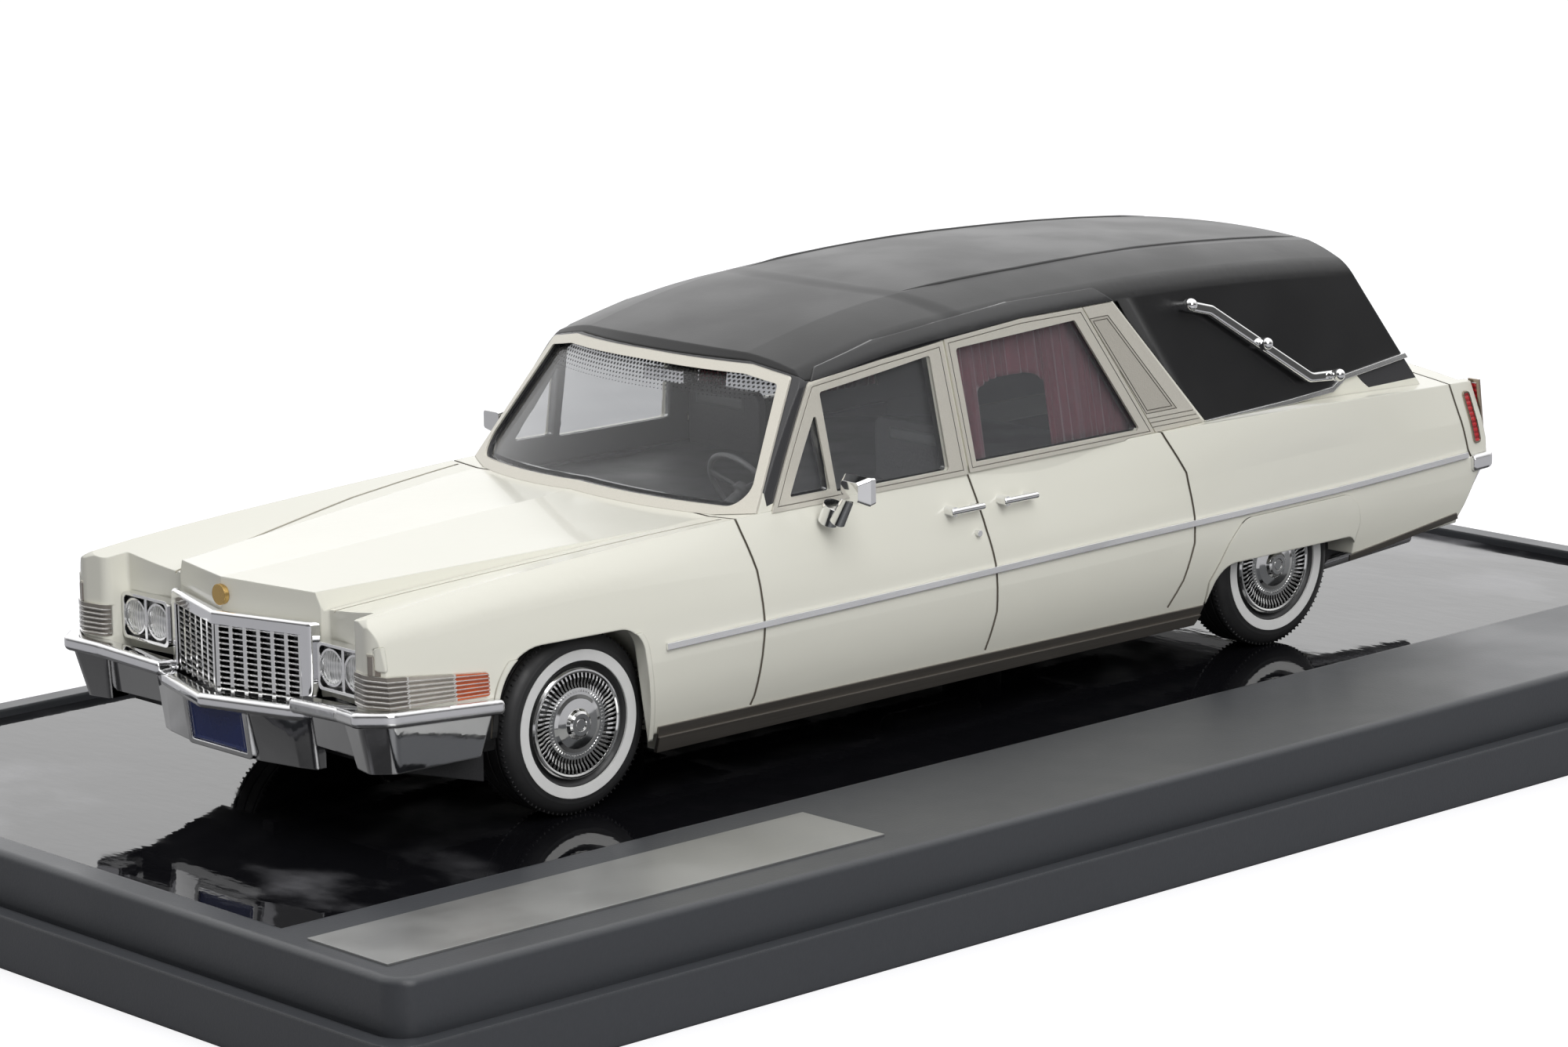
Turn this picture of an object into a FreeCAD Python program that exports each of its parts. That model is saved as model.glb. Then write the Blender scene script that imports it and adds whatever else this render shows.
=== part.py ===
"""Display model, scale 1:43, of an American landaulet hearse on its two-tier plinth.

The car is drawn about the middle of its front axle at road height: x to the car's left,
y to the rear, z up. It faces -Y. The last step sets the car on the plinth, whose
underside centre is the origin of the whole object.
"""
import FreeCAD, Part
import math
import os

V = FreeCAD.Vector
os.makedirs("parts", exist_ok=True)

# ---- Driving dimensions, mm -------------------------------------------------------------
WHEELBASE = 92.1
BODY_WIDTH = 46.6
TYRE_RADIUS = 8.4
TYRE_WIDTH = 5.4
WHEEL_INSET = 2.2            # hub cover face inside the widest flank
AXLE_RADIUS = 0.75
AXLE_PLAY = 0.05             # radial clearance of an axle in its bearings
TYRE_LIFT = 0.05             # the screwed-down car clears the sheet by this
WELL_GAP = 1.1               # tyre to wheel well, radial
WALL = 1.3                   # cast body wall
ROOF_WALL = 1.2
ETCH = 0.22                  # thickness of the etched window frames
GLASS = 0.6
GLASS_INSET = 0.3            # glass face below the painted face
FIT = 0.05                   # clearance of pieces set into pockets
LOOSE = 0.14                 # clearance of the pieces fitted inside the cabin
LAYER_GAP = 0.04             # glue line under etched frames and trims
LINING = 0.8                 # interior wall thickness
GROOVE = 0.22                # depth of the engraved panel gaps
GROOVE_WIDTH = 0.26
LINE_WIDTH = 0.09            # engraved lines in the etched frames
LINE_DEPTH = 0.08
ARCH_LIP = 0.16              # wheel arch lips and rear skirts stand proud by this
FIN_COUNT = 60               # vanes in a wheel cover

PLINTH_WIDTH = 102.0         # upper tier
PLINTH_FRONT = 45.1          # upper tier ahead of the front axle
PLINTH_REAR = 55.4           # upper tier behind the rear axle
LEDGE = 2.2                  # flange beyond the upper tier
FLANGE_HEIGHT = 4.77
TIER_HEIGHT = 4.73
PLINTH_WALL = 2.2
PLINTH_DECK = 2.4            # thickness of the top under the sheet
SHEET_THICKNESS = 0.5
SHEET_DROP = 0.8             # rim top above the sheet
RIM_FAR = 2.9                # rim beside the sheet on three sides
RIM_NEAR = 19.1              # wide rim that carries the nameplate
CAR_OFFSET_X = -1.1          # car's middle plane from the plinth's middle plane
NAMEPLATE = (10.5, 55.0, 0.2)
SCREW_RADIUS = 1.5

# The tables below are drawn for these two sizes; along() and across() fit them to the
# wheelbase and width above.
DRAWN_WHEELBASE = 92.1
DRAWN_WIDTH = 46.6
WHEEL_FACE_X = BODY_WIDTH / 2 - WHEEL_INSET
STRETCH_FROM, STRETCH_TO = 51.0, 77.0     # the rear door takes up a longer wheelbase


def along(y):
    """Station on the car for a drawn station."""
    share = min(max((y - STRETCH_FROM) / (STRETCH_TO - STRETCH_FROM), 0.0), 1.0)
    return y + share * (WHEELBASE - DRAWN_WHEELBASE)


def across(x):
    """Half-width on the car for a drawn half-width."""
    return x * BODY_WIDTH / DRAWN_WIDTH


# ---- Basic shapes -----------------------------------------------------------------------
def box(x0, x1, y0, y1, z0, z1):
    return Part.makeBox(x1 - x0, y1 - y0, z1 - z0, V(x0, y0, z0))


def face_of(points):
    return Part.Face(Part.makePolygon(points + [points[0]]))


def side_prism(outline, x0, x1):
    """Prism across the car from a side-view outline of (y, z) in drawn stations."""
    face = face_of([V(x0, along(y), z) for y, z in outline])
    return face.extrude(V(x1 - x0, 0, 0))


def plan_prism(outline, z0, z1):
    """Upright prism from a plan outline of (x, y), drawn."""
    face = face_of([V(across(x), along(y), z0) for x, y in outline])
    return face.extrude(V(0, 0, z1 - z0))


def arc(start, middle, end):
    return Part.Arc(start, middle, end).toShape()


def mirrored(shape):
    return shape.mirror(V(0, 0, 0), V(1, 0, 0))


def both(shape):
    """The piece and its mirror image on the car's other side, as separate solids."""
    return Part.makeCompound([shape, mirrored(shape)])


def joined(shapes):
    first, rest = shapes[0], shapes[1:]
    return first.multiFuse(rest).removeSplitter() if rest else first


def reflected(outline):
    """Close a half plan outline (x >= 0, front to rear) with its mirror image."""
    return outline + [(-x, y) for x, y in reversed(outline) if x > 0]


def largest(shape):
    """The biggest solid of a cut that also left crumbs."""
    return max(shape.Solids, key=lambda solid: solid.Volume)


def tube_x(radius, x0, x1, y, z):
    return Part.makeCylinder(radius, x1 - x0, V(x0, y, z), V(1, 0, 0))


def soften(shape, radius, wanted):
    """Fillet the edges for which wanted(edge) holds."""
    edges = [edge for edge in shape.Edges if wanted(edge)]
    return shape.makeFillet(radius, edges) if edges else shape


def rounded_face(corners, place):
    """Face inside a 2-D outline of (u, v, corner radius); place(u, v) gives the 3-D point."""
    count = len(corners)
    spans = []
    for index in range(count):
        (pu, pv, _), (u, v, radius), (nu, nv, _) = (corners[index - 1], corners[index],
                                                    corners[(index + 1) % count])
        a = math.atan2(pv - v, pu - u)
        b = math.atan2(nv - v, nu - u)
        turn = abs((b - a + math.pi) % (2 * math.pi) - math.pi)
        if radius <= 0 or turn > math.pi - 1e-3:
            spans.append(((u, v), None, (u, v)))
            continue
        reach = radius / math.tan(turn / 2)
        start = (u + reach * math.cos(a), v + reach * math.sin(a))
        end = (u + reach * math.cos(b), v + reach * math.sin(b))
        half = math.atan2(math.sin(a) + math.sin(b), math.cos(a) + math.cos(b))
        depth = radius / math.sin(turn / 2) - radius
        spans.append((start, (u + depth * math.cos(half), v + depth * math.sin(half)), end))
    edges = []
    for index, (start, middle, end) in enumerate(spans):
        following = spans[(index + 1) % count][0]
        if middle is not None:
            edges.append(arc(place(*start), place(*middle), place(*end)))
        if math.dist(end, following) > 1e-6:
            edges.append(Part.makeLine(place(*end), place(*following)))
    return Part.Face(Part.Wire(edges))


def rounded_side(corners, x0, x1):
    face = rounded_face(corners, lambda y, z: V(x0, along(y), z))
    return face.extrude(V(x1 - x0, 0, 0))


def rounded_front(corners, y0, y1):
    """Prism along y from a front-view outline of (x, z, corner radius)."""
    face = rounded_face(corners, lambda x, z: V(across(x), along(y0), z))
    return face.extrude(V(0, along(y1) - along(y0), 0))


def plan_face(corners, z):
    """Level face from a drawn plan outline of (x, y, corner radius)."""
    placed = [(across(x), along(y), radius) for x, y, radius in corners]
    return rounded_face(placed, lambda x, y: V(x, y, z))


def rounded_plan(corners, z0, z1):
    """Upright prism from a plan outline of (x, y, corner radius), drawn."""
    return plan_face(corners, z0).extrude(V(0, 0, z1 - z0))


def tapered_plan(top, foot, z1, z0):
    """Block between two plan outlines with the same corners, at z1 and z0."""
    wires = [plan_face(top, z1).OuterWire, plan_face(foot, z0).OuterWire]
    return Part.makeLoft(wires, True, True)


def reflected_corners(half):
    """Whole plan outline from its half at x >= 0, each corner with its radius."""
    return half + [(-x, y, radius) for x, y, radius in reversed(half) if x > 0]


def band(line, width):
    """Outline of a strip of that width along an open line of points."""
    left, right = [], []
    for index, (u, v) in enumerate(line):
        before = line[max(index - 1, 0)]
        after = line[min(index + 1, len(line) - 1)]
        du, dv = after[0] - before[0], after[1] - before[1]
        reach = 0.5 * width / math.hypot(du, dv)
        left.append((u - dv * reach, v + du * reach))
        right.append((u + dv * reach, v - du * reach))
    return left + right[::-1]


# ---- Lower body -------------------------------------------------------------------------
SILL_Z = 4.2
BODY_SECTIONS = [
    # y, sill x, widest x, widest z, shoulder x, z, crown x, z, crown bulge, middle z
    (-28.0, 20.4, 22.6, 12.4, 22.0, 18.8, 20.3, 20.8, 0.45, 18.4),
    (-14.0, 21.0, 23.1, 12.8, 22.3, 19.6, 20.2, 22.3, 0.45, 20.2),
    (4.0, 21.2, 23.3, 13.0, 22.3, 20.0, 20.1, 23.3, 0.35, 21.6),
    (22.0, 21.2, 23.3, 13.0, 22.3, 19.2, 20.4, 23.9, 0.12, 23.2),
    (50.0, 21.2, 23.3, 13.0, 22.3, 18.5, 20.5, 24.0, 0.06, 23.8),
    (70.0, 21.2, 23.3, 13.1, 22.4, 18.7, 20.7, 24.1, 0.08, 23.9),
    (84.0, 21.3, 23.4, 13.5, 22.9, 19.3, 22.0, 24.3, 0.15, 24.1),
    (104.0, 21.4, 23.4, 13.8, 23.0, 19.6, 22.4, 23.9, 0.10, 24.6),
    (127.0, 21.0, 23.0, 14.0, 22.8, 19.6, 22.3, 23.3, 0.10, 24.8),
]


def bulged(start, end, bulge):
    """Middle point of an arc that stands out by bulge, to the right of start to end."""
    dx, dz = end[0] - start[0], end[1] - start[1]
    length = math.hypot(dx, dz)
    return (0.5 * (start[0] + end[0]) + bulge * dz / length,
            0.5 * (start[1] + end[1]) - bulge * dx / length)


def flank_middle(wide, other):
    """Middle of the arc that leaves the widest point upright and ends at other."""
    dx, dz = wide[0] - other[0], wide[1] - other[1]
    radius = (dx * dx + dz * dz) / (2 * dx)
    z = 0.5 * (wide[1] + other[1])
    return (wide[0] - radius + math.sqrt(radius ** 2 - (z - wide[1]) ** 2), z)


def symmetric_wire(y, points, middles, top_middle_z):
    """Closed section at y: a flat bottom, edges up one side, an arc over, and down again."""
    def spot(point, side=1):
        return V(side * point[0], y, point[1])

    edges = [Part.makeLine(spot(points[0], -1), spot(points[0]))]
    for start, middle, end in zip(points, middles, points[1:]):
        if middle is None:
            edges.append(Part.makeLine(spot(start), spot(end)))
        else:
            edges.append(arc(spot(start), spot(middle), spot(end)))
    edges.append(arc(spot(points[-1]), V(0, y, top_middle_z), spot(points[-1], -1)))
    for start, middle, end in reversed(list(zip(points, middles, points[1:]))):
        if middle is None:
            edges.append(Part.makeLine(spot(end, -1), spot(start, -1)))
        else:
            edges.append(arc(spot(end, -1), spot(middle, -1), spot(start, -1)))
    return Part.Wire(edges)


def body_section(row, grow):
    y, sill_x, wide_x, wide_z, shoulder_x, shoulder_z, crown_x, crown_z, bulge, mid_z = row
    sill = (across(sill_x) + grow, SILL_Z - grow)
    wide = (across(wide_x) + grow, wide_z)
    shoulder = (across(shoulder_x) + grow, shoulder_z + 0.3 * grow)
    crown = (across(crown_x) + 0.7 * grow, crown_z + grow)
    middles = [flank_middle(wide, sill), flank_middle(wide, shoulder),
               bulged(shoulder, crown, bulge)]
    return symmetric_wire(along(y), [sill, wide, shoulder, crown], middles, mid_z + grow)


def body_loft(grow=0.0):
    """The lower body's skin, running past its nose and tail, grown outwards by grow."""
    return Part.makeLoft([body_section(row, grow) for row in BODY_SECTIONS], True, False)


HOOD_SECTIONS = [
    # y, foot x, foot z, ridge x, ridge z, centre z
    (-27.0, 10.9, 17.5, 9.2, 21.6, 22.2),
    (-19.1, 11.6, 18.0, 9.9, 21.9, 22.4),
    (21.0, 19.4, 21.0, 17.6, 23.6, 24.3),
]


def hood_solid(grow=0.0):
    """Raised middle of the hood with a ridge each side and a peak down the centre."""
    wires = []
    for y, foot_x, foot_z, ridge_x, ridge_z, centre_z in HOOD_SECTIONS:
        half = [(foot_x + grow, foot_z), (ridge_x, ridge_z + grow), (0.0, centre_z + grow)]
        loop = half + [(-x, z) for x, z in reversed(half[:-1])]
        wires.append(Part.makePolygon([V(across(x), along(y), z) for x, z in loop + loop[:1]]))
    return Part.makeLoft(wires, True, True)


NOSE_OUTLINE = [
    # x, y, corner radius of the front end in plan, from the middle outwards
    (0.0, -23.0, 0), (10.35, -19.9, 0), (10.9, -19.3, 0.3), (18.2, -20.1, 0.3),
    (18.3, -22.6, 0.9), (21.0, -23.3, 1.6), (24.2, -21.5, 1.8),
]
TAIL_OUTLINE = [(24.5, 122.4, 0.9), (20.6, 123.4, 0.2), (20.6, 121.0, 0.2), (0.0, 121.6, 0)]
BROW = [(-23.4, -9.0, 0), (-23.4, 21.5, 1.5), (10.0, 25.2, 0), (140.0, 32.0, 0), (140.0, -9.0, 0)]
TUCK = [(140.0, 40.0), (120.65, 32.0), (123.0, 16.1), (121.6, 14.2), (119.4, 10.6),
        (118.4, 9.2), (118.0, 0.0), (140.0, 0.0)]


def trimmed_ends(grow=0.0):
    """Upright prism between the nose and tail outlines, each moved out by grow."""
    half = ([(x, y - grow, radius) for x, y, radius in NOSE_OUTLINE]
            + [(x, y + grow, radius) for x, y, radius in TAIL_OUTLINE])
    return rounded_plan(reflected_corners(half), -5.0, 60.0)


def lower_body():
    """Lower body as a full solid: fenders, hood, nose, tail and raised ends underneath."""
    wide = across(30.0)
    fenders = body_loft().common(rounded_side(BROW, -wide, wide))
    solid = fenders.fuse(hood_solid()).common(trimmed_ends())
    front = side_prism([(-40, -5), (-40, 8.6), (-8, 8.2), (-4, 7.6), (0, 4.0), (0, -5)], -wide, wide)
    rear = side_prism([(98, -5), (98, 7.9), (130, 9.4), (130, -5)], -wide, wide)
    return solid.cut(joined([front, rear, side_prism(TUCK, -wide, wide)]))


# ---- Greenhouse -------------------------------------------------------------------------
CABIN_BASE_Z = 22.0
CABIN_SECTIONS = [
    # y, base x, side x, z, shoulder x, z, crease x, z, centre z
    (12.0, 20.9, 17.5, 29.6, 15.7, 31.2, 11.0, 32.3, 32.9),
    (28.0, 20.9, 17.9, 33.7, 16.1, 35.2, 11.2, 36.4, 37.0),
    (38.0, 20.9, 18.3, 35.7, 16.5, 37.4, 11.3, 38.7, 39.2),
    (49.0, 20.9, 18.4, 36.8, 16.7, 38.6, 11.4, 40.1, 40.6),
    (65.0, 20.9, 18.4, 37.4, 16.8, 39.2, 11.5, 40.8, 41.4),
    (82.0, 20.9, 18.4, 37.3, 16.8, 39.1, 11.9, 40.6, 41.1),
    (99.0, 20.8, 18.2, 36.4, 16.7, 38.2, 12.4, 39.6, 40.1),
    (120.0, 20.3, 17.6, 34.0, 16.2, 35.8, 12.6, 37.0, 37.4),
]
RIDGE_STATION = 49.0
WINDSHIELD_FOOT_Y = 17.6     # glass plane at the centre, at WINDSHIELD_FOOT_Z
WINDSHIELD_FOOT_Z = 23.63
WINDSHIELD_RAKE = 0.817      # mm rearwards for each mm up
WINDSHIELD_RADIUS = 43.0     # plan curve
TAIL_FOOT_Y = 118.6          # rear face of the greenhouse at the centre, at z 24
TAIL_RAKE = -0.72
TAIL_RADIUS = 60.0


def cabin_section(row, grow):
    y, base_x, side_x, side_z, shoulder_x, shoulder_z, crease_x, crease_z, mid_z = row
    base = (across(base_x) + grow, CABIN_BASE_Z)
    side = (across(side_x) + grow, side_z)
    shoulder = (across(shoulder_x) + 0.7 * grow, shoulder_z + 0.7 * grow)
    crease = (across(crease_x) + 0.2 * grow, crease_z + grow)
    middles = [None, bulged(side, shoulder, 0.3), bulged(shoulder, crease, 0.12)]
    return symmetric_wire(along(y), [base, side, shoulder, crease], middles, mid_z + grow)


def cabin_ends(grow=0.0):
    """Leaning prism between the windshield surface and the tail surface."""
    wide = across(26.0)
    z0, z1 = 15.0, 55.0

    def curved_end(foot_y, foot_z, rake, radius, sign):
        y = along(foot_y) + rake * (z0 - foot_z) - sign * grow * math.hypot(1.0, rake)
        sag = radius - math.sqrt(radius ** 2 - wide ** 2)
        curve = arc(V(-wide, y + sign * sag, z0), V(0, y, z0), V(wide, y + sign * sag, z0))
        far = y + sign * 260.0
        lines = [Part.makeLine(V(wide, y + sign * sag, z0), V(wide, far, z0)),
                 Part.makeLine(V(wide, far, z0), V(-wide, far, z0)),
                 Part.makeLine(V(-wide, far, z0), V(-wide, y + sign * sag, z0))]
        face = Part.Face(Part.Wire([curve] + lines))
        return face.extrude(V(0, rake * (z1 - z0), z1 - z0))

    behind = curved_end(WINDSHIELD_FOOT_Y, WINDSHIELD_FOOT_Z, WINDSHIELD_RAKE,
                        WINDSHIELD_RADIUS, 1)
    ahead = curved_end(TAIL_FOOT_Y, 24.0, TAIL_RAKE, TAIL_RADIUS, -1)
    return behind.common(ahead)


def cabin_solid(grow=0.0):
    """Greenhouse as a full solid. Two lofts meet at the ridge across the roof."""
    rows = {row[0]: cabin_section(row, grow) for row in CABIN_SECTIONS}
    front = [wire for y, wire in rows.items() if y <= RIDGE_STATION]
    rear = [wire for y, wire in rows.items() if y >= RIDGE_STATION]
    skin = Part.makeLoft(front, True, False).fuse(Part.makeLoft(rear, True, False))
    return skin.common(cabin_ends(grow))



def roof_region(wide):
    """Side view of what is painted as roof: all above the door frames, the whole rear."""
    return side_prism([(15, 36.5), (29.6, 36.2), (31.2, 34.8), (33.9, 34.7), (40.0, 35.75),
                       (48.3, 36.6), (58.6, 37.35), (71.5, 37.45), (82.6, 24.15), (94.4, 24.45),
                       (101.5, 24.9), (103.5, 25.8), (113.0, 26.7), (126.0, 27.4), (126, 60),
                       (15, 60)], -wide, wide)


# ---- Outlines in side view: (y, z, corner radius) ---------------------------------------
FRONT_ARCH = [(-10.9, 0.0, 0), (-10.6, 16.9, 5.2), (5.9, 16.6, 2.6), (8.3, 0.0, 0)]
REAR_ARCH = [(78.6, 0.0, 0), (81.8, 10.1, 3.2), (102.0, 10.1, 1.2), (102.4, 0.0, 0)]
REAR_SKIRT = [(80.6, 0.0, 0), (80.6, 8.6, 0), (83.1, 12.4, 3.0), (85.2, 14.45, 2.2),
              (101.9, 14.6, 2.6), (102.6, 11.5, 2.0), (101.4, 7.4, 0), (101.4, 0.0, 0)]
FRONT_FRAME = [(24.3, 23.75, 0), (31.3, 34.7, 0.8), (40.0, 35.75, 0), (48.0, 36.5, 0),
               (49.25, 23.8, 0)]
VENT_WINDOW = [(26.7, 24.8, 0.2), (31.45, 32.0, 0.2), (31.7, 24.8, 0.2)]
FRONT_WINDOW = [(32.5, 24.5, 0.3), (32.3, 33.7, 0.3), (46.2, 35.4, 0.3), (46.9, 24.5, 0.3)]
REAR_FRAME = [(49.55, 23.9, 0), (48.35, 36.6, 0), (58.6, 37.3, 0), (67.0, 37.35, 0),
              (75.1, 24.0, 0)]
REAR_WINDOW = [(50.5, 24.7, 0.3), (49.7, 35.6, 0.3), (65.8, 36.3, 0.3), (73.0, 24.7, 0.3)]
QUARTER_PANEL = [(75.25, 24.0, 0), (67.15, 37.35, 0), (71.2, 37.4, 0), (82.1, 24.15, 0)]
QUARTER_INSET = [(74.1, 26.1, 0), (67.7, 36.2, 0.1), (70.4, 36.25, 0.1), (78.5, 26.1, 0)]
LOUVRES_Z = (24.7, 25.15, 25.6)
DRIP_BAND = [(31.6, 34.75, 0), (32.7, 35.9, 1.0), (40.1, 37.5, 0), (48.0, 38.2, 0),
             (57.9, 38.9, 0), (69.4, 38.9, 0.4), (71.4, 37.5, 0), (58.6, 37.38, 0),
             (48.35, 36.62, 0), (40.0, 35.8, 0)]
# Outlines in front view: (x, z, corner radius)
WINDSHIELD_EDGE = [(-20.35, 23.5, 0), (-16.9, 35.2, 0.5), (-12.6, 36.0, 3.0), (0, 36.15, 0),
                   (12.6, 36.0, 3.0), (16.9, 35.2, 0.5), (20.35, 23.5, 0), (0, 23.9, 0)]
WINDSHIELD_OPENING = [(-19.35, 24.3, 1.6), (-16.1, 34.55, 0.5), (-12.4, 35.2, 3.0), (0, 35.35, 0),
                      (12.4, 35.2, 3.0), (16.1, 34.55, 0.5), (19.35, 24.3, 1.6), (0, 24.9, 0)]
REAR_GLASS_EDGE = [(-13.6, 28.2, 1.2), (-12.2, 36.3, 1.2), (12.2, 36.3, 1.2),
                   (13.6, 28.2, 1.2)]
REAR_OPENING = [(-12.9, 28.9, 0.8), (-11.6, 35.6, 0.8), (11.6, 35.6, 0.8), (12.9, 28.9, 0.8)]
TRIM_LINE = [(8.8, 14.3), (32.8, 14.5), (64.1, 14.9), (98.2, 15.3), (119.6, 15.9)]
ROCKER_TOP, ROCKER_STEP, ROCKER_FOOT = 6.6, 5.75, 4.2
# Engraved panel gaps in side view: (y, z) lines
DOOR_GAPS = [
    [(19.9, 24.5), (20.1, 22.7), (20.8, 19.2), (20.8, 14.1), (20.0, 7.7), (19.7, 6.8)],
    [(49.3, 24.5), (49.4, 23.7), (50.1, 19.4), (50.6, 15.2), (50.7, 10.6), (49.9, 6.8)],
    [(75.2, 25.0), (75.8, 23.6), (77.7, 20.0), (78.1, 15.6), (78.0, 13.0), (76.8, 9.4), (75.2, 6.8)],
]
LAMP_UNIT_GAP = [(118.4, 25.0), (118.6, 23.5), (119.5, 18.6), (119.9, 16.3), (120.3, 15.6)]
HOOD_GAP = [(11.5, -20.2), (12.3, -17.0), (17.0, 5.0), (19.0, 19.5)]      # plan, x and y
REAR_DOOR = (14.8, 16.4)     # half-width and foot of the rear door
FRONT_AXLE_Y = 0.0
REAR_AXLE_Y = WHEELBASE
FLOOR_Z = 5.8                # top of the base plate under the cabin
DECK_Z = 12.6                # underside of the load deck
WIDE = across(30.0)

# ---- Forms used by several pieces -------------------------------------------------------
LOWER = lower_body()
LOWER_INNER = body_loft(-WALL)
CABIN = cabin_solid()
CABIN_INNER = cabin_solid(-ROOF_WALL)
CABIN_GLUE = cabin_solid(LAYER_GAP)
CABIN_ETCHED = cabin_solid(LAYER_GAP + ETCH)
CABIN_SHELL = CABIN.cut(CABIN_INNER)


def windows_cut(shape):
    """Cut every window opening through a shape."""
    for outline in (VENT_WINDOW, FRONT_WINDOW, REAR_WINDOW):
        shape = shape.cut(rounded_side(outline, -WIDE, WIDE))
    shape = shape.cut(rounded_front(WINDSHIELD_OPENING, 8.0, 40.0))
    return shape.cut(rounded_front(REAR_OPENING, 100.0, 128.0))


def wheel_spaces(axle_y):
    """Wheel wells both sides, the slot for the axle and the pocket for its bearings."""
    radius = TYRE_RADIUS + WELL_GAP
    inner_x = WHEEL_FACE_X - TYRE_WIDTH - 1.1
    well = tube_x(radius, inner_x, across(22.0), axle_y, TYRE_RADIUS)
    well = well.fuse(box(inner_x, across(22.0), axle_y - radius, axle_y + radius, 0.0,
                         TYRE_RADIUS))
    pocket = box(-inner_x - 0.1, inner_x + 0.1, axle_y - 3.4, axle_y + 3.4, 0.0, 11.6)
    return joined([well, mirrored(well), pocket])


def arch_prism(outline):
    """A wheel opening or its surround, through both flanks."""
    opening = rounded_side(outline, WHEEL_FACE_X - 3.0, WIDE)
    return joined([opening, mirrored(opening)])


def grown(outline, grow):
    """The side-view outline of an arch moved out by grow, as a prism through both flanks."""
    face = rounded_face(outline, lambda y, z: V(WHEEL_FACE_X - 3.0, along(y), z))
    prism = face.makeOffset2D(grow).extrude(V(WIDE - WHEEL_FACE_X + 3.0, 0, 0))
    return joined([prism, mirrored(prism)])


def engraving():
    """Thin prisms along every panel gap, down to the depth of a groove."""
    lines = [side_prism(band(line, GROOVE_WIDTH), -WIDE, WIDE)
             for line in DOOR_GAPS + [LAMP_UNIT_GAP]]
    hood = plan_prism(band(HOOD_GAP, GROOVE_WIDTH), 18.0, 30.0)
    half, foot = REAR_DOOR
    door = [(-half, 40.0), (-half, foot), (half, foot), (half, 40.0)]
    seam = face_of([V(across(x), along(119.0), z) for x, z in band(door, GROOVE_WIDTH)])
    back = seam.extrude(V(0, 10, 0)).cut(trimmed_ends(-GROOVE))
    sunk = joined([body_loft(-GROOVE), hood_solid(-GROOVE)])
    return Part.makeCompound([Part.makeCompound(lines + [hood, mirrored(hood)]).cut(sunk), back])


def body_shell():
    """Painted casting: lower body and the window pillars, hollow under the roof."""
    rooms = Part.makeCompound([box(-WIDE, WIDE, 16.3, along(78.0), 0.0, 40.0),
                               box(-13.6, 13.6, along(78.0), along(113.0), DECK_Z, 19.0),
                               box(-WIDE, WIDE, along(78.0), along(113.0), 19.0, 40.0)])
    shell = LOWER.cut(LOWER_INNER.common(rooms)).cut(CABIN_INNER)
    shell = shell.fuse(CABIN_SHELL.cut(roof_region(WIDE)))
    shell = windows_cut(shell)
    lips = [grown(FRONT_ARCH, 0.55), arch_prism(REAR_SKIRT)]
    proud = body_loft(ARCH_LIP).cut(LOWER_INNER).common(Part.makeCompound(lips))
    proud = proud.common(box(-WIDE, WIDE, -40.0, along(110.0), SILL_Z + 0.6, 16.0))
    shell = shell.fuse(proud.cut(box(-WIDE, WIDE, -40.0, -4.0, 0.0, 9.4)))
    hollows = [wheel_spaces(FRONT_AXLE_Y), wheel_spaces(REAR_AXLE_Y), arch_prism(FRONT_ARCH),
               arch_prism(REAR_ARCH),
               box(-across(19.6), across(19.6), -60.0, along(98.0), 0.0, FLOOR_Z)]
    return shell.cut(joined(hollows)).cut(engraving())


def roof_shell():
    """Black roof casting with the whole rear quarter and the frame of the rear window."""
    shell = CABIN_SHELL.common(roof_region(WIDE))
    return windows_cut(shell).cut(LOWER)


ETCHED = CABIN_ETCHED.cut(CABIN_GLUE).cut(CABIN)
LOWER_GLUE = body_loft(LAYER_GAP)


LINE_LAYER = CABIN_ETCHED.cut(cabin_solid(LAYER_GAP + ETCH - LINE_DEPTH))


def engraved_ring(outline, inset):
    """Thin line that follows an outline at that distance inside it."""
    face = rounded_face(outline, lambda y, z: V(5.0, along(y), z))
    ring = face.makeOffset2D(-inset).cut(face.makeOffset2D(-inset - LINE_WIDTH))
    return ring.extrude(V(WIDE, 0, 0))


def side_frame(outline, openings=(), lines=()):
    """Etched frame both sides of the greenhouse, with its openings and engraved lines."""
    frame = ETCHED.common(rounded_side(outline, 5.0, WIDE)).cut(LOWER_GLUE)
    for opening in openings:
        frame = frame.cut(rounded_side(opening, 5.0, WIDE))
    for line in lines:
        frame = frame.cut(LINE_LAYER.common(line))
    return both(frame)


def quarter_lines():
    """Border of the plain inset and the louvre lines at its foot."""
    lines = [engraved_ring(QUARTER_INSET, 0.0), engraved_ring(QUARTER_INSET, 0.3)]
    for z in LOUVRES_Z:
        lines.append(box(5.0, WIDE, along(73.0), along(83.0), z, z + LINE_WIDTH))
    return lines


def windshield_frame():
    frame = ETCHED.common(rounded_front(WINDSHIELD_EDGE, 8.0, 34.0))
    frame = frame.cut(rounded_front(WINDSHIELD_OPENING, 8.0, 34.0))
    return frame.cut(joined([LOWER_GLUE, hood_solid()]))


def rear_window_frame():
    frame = ETCHED.common(rounded_front(REAR_GLASS_EDGE, 108.0, 128.0))
    return frame.cut(rounded_front(REAR_OPENING, 100.0, 128.0))


PANE = cabin_solid(-GLASS_INSET).cut(cabin_solid(-GLASS_INSET - GLASS))


def side_glass(*openings):
    return both(joined([PANE.common(rounded_side(opening, 5.0, WIDE)) for opening in openings]))


def front_glass():
    return PANE.common(rounded_front(WINDSHIELD_OPENING, 8.0, 34.0))


def rear_glass():
    return PANE.common(rounded_front(REAR_OPENING, 108.0, 128.0))


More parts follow.
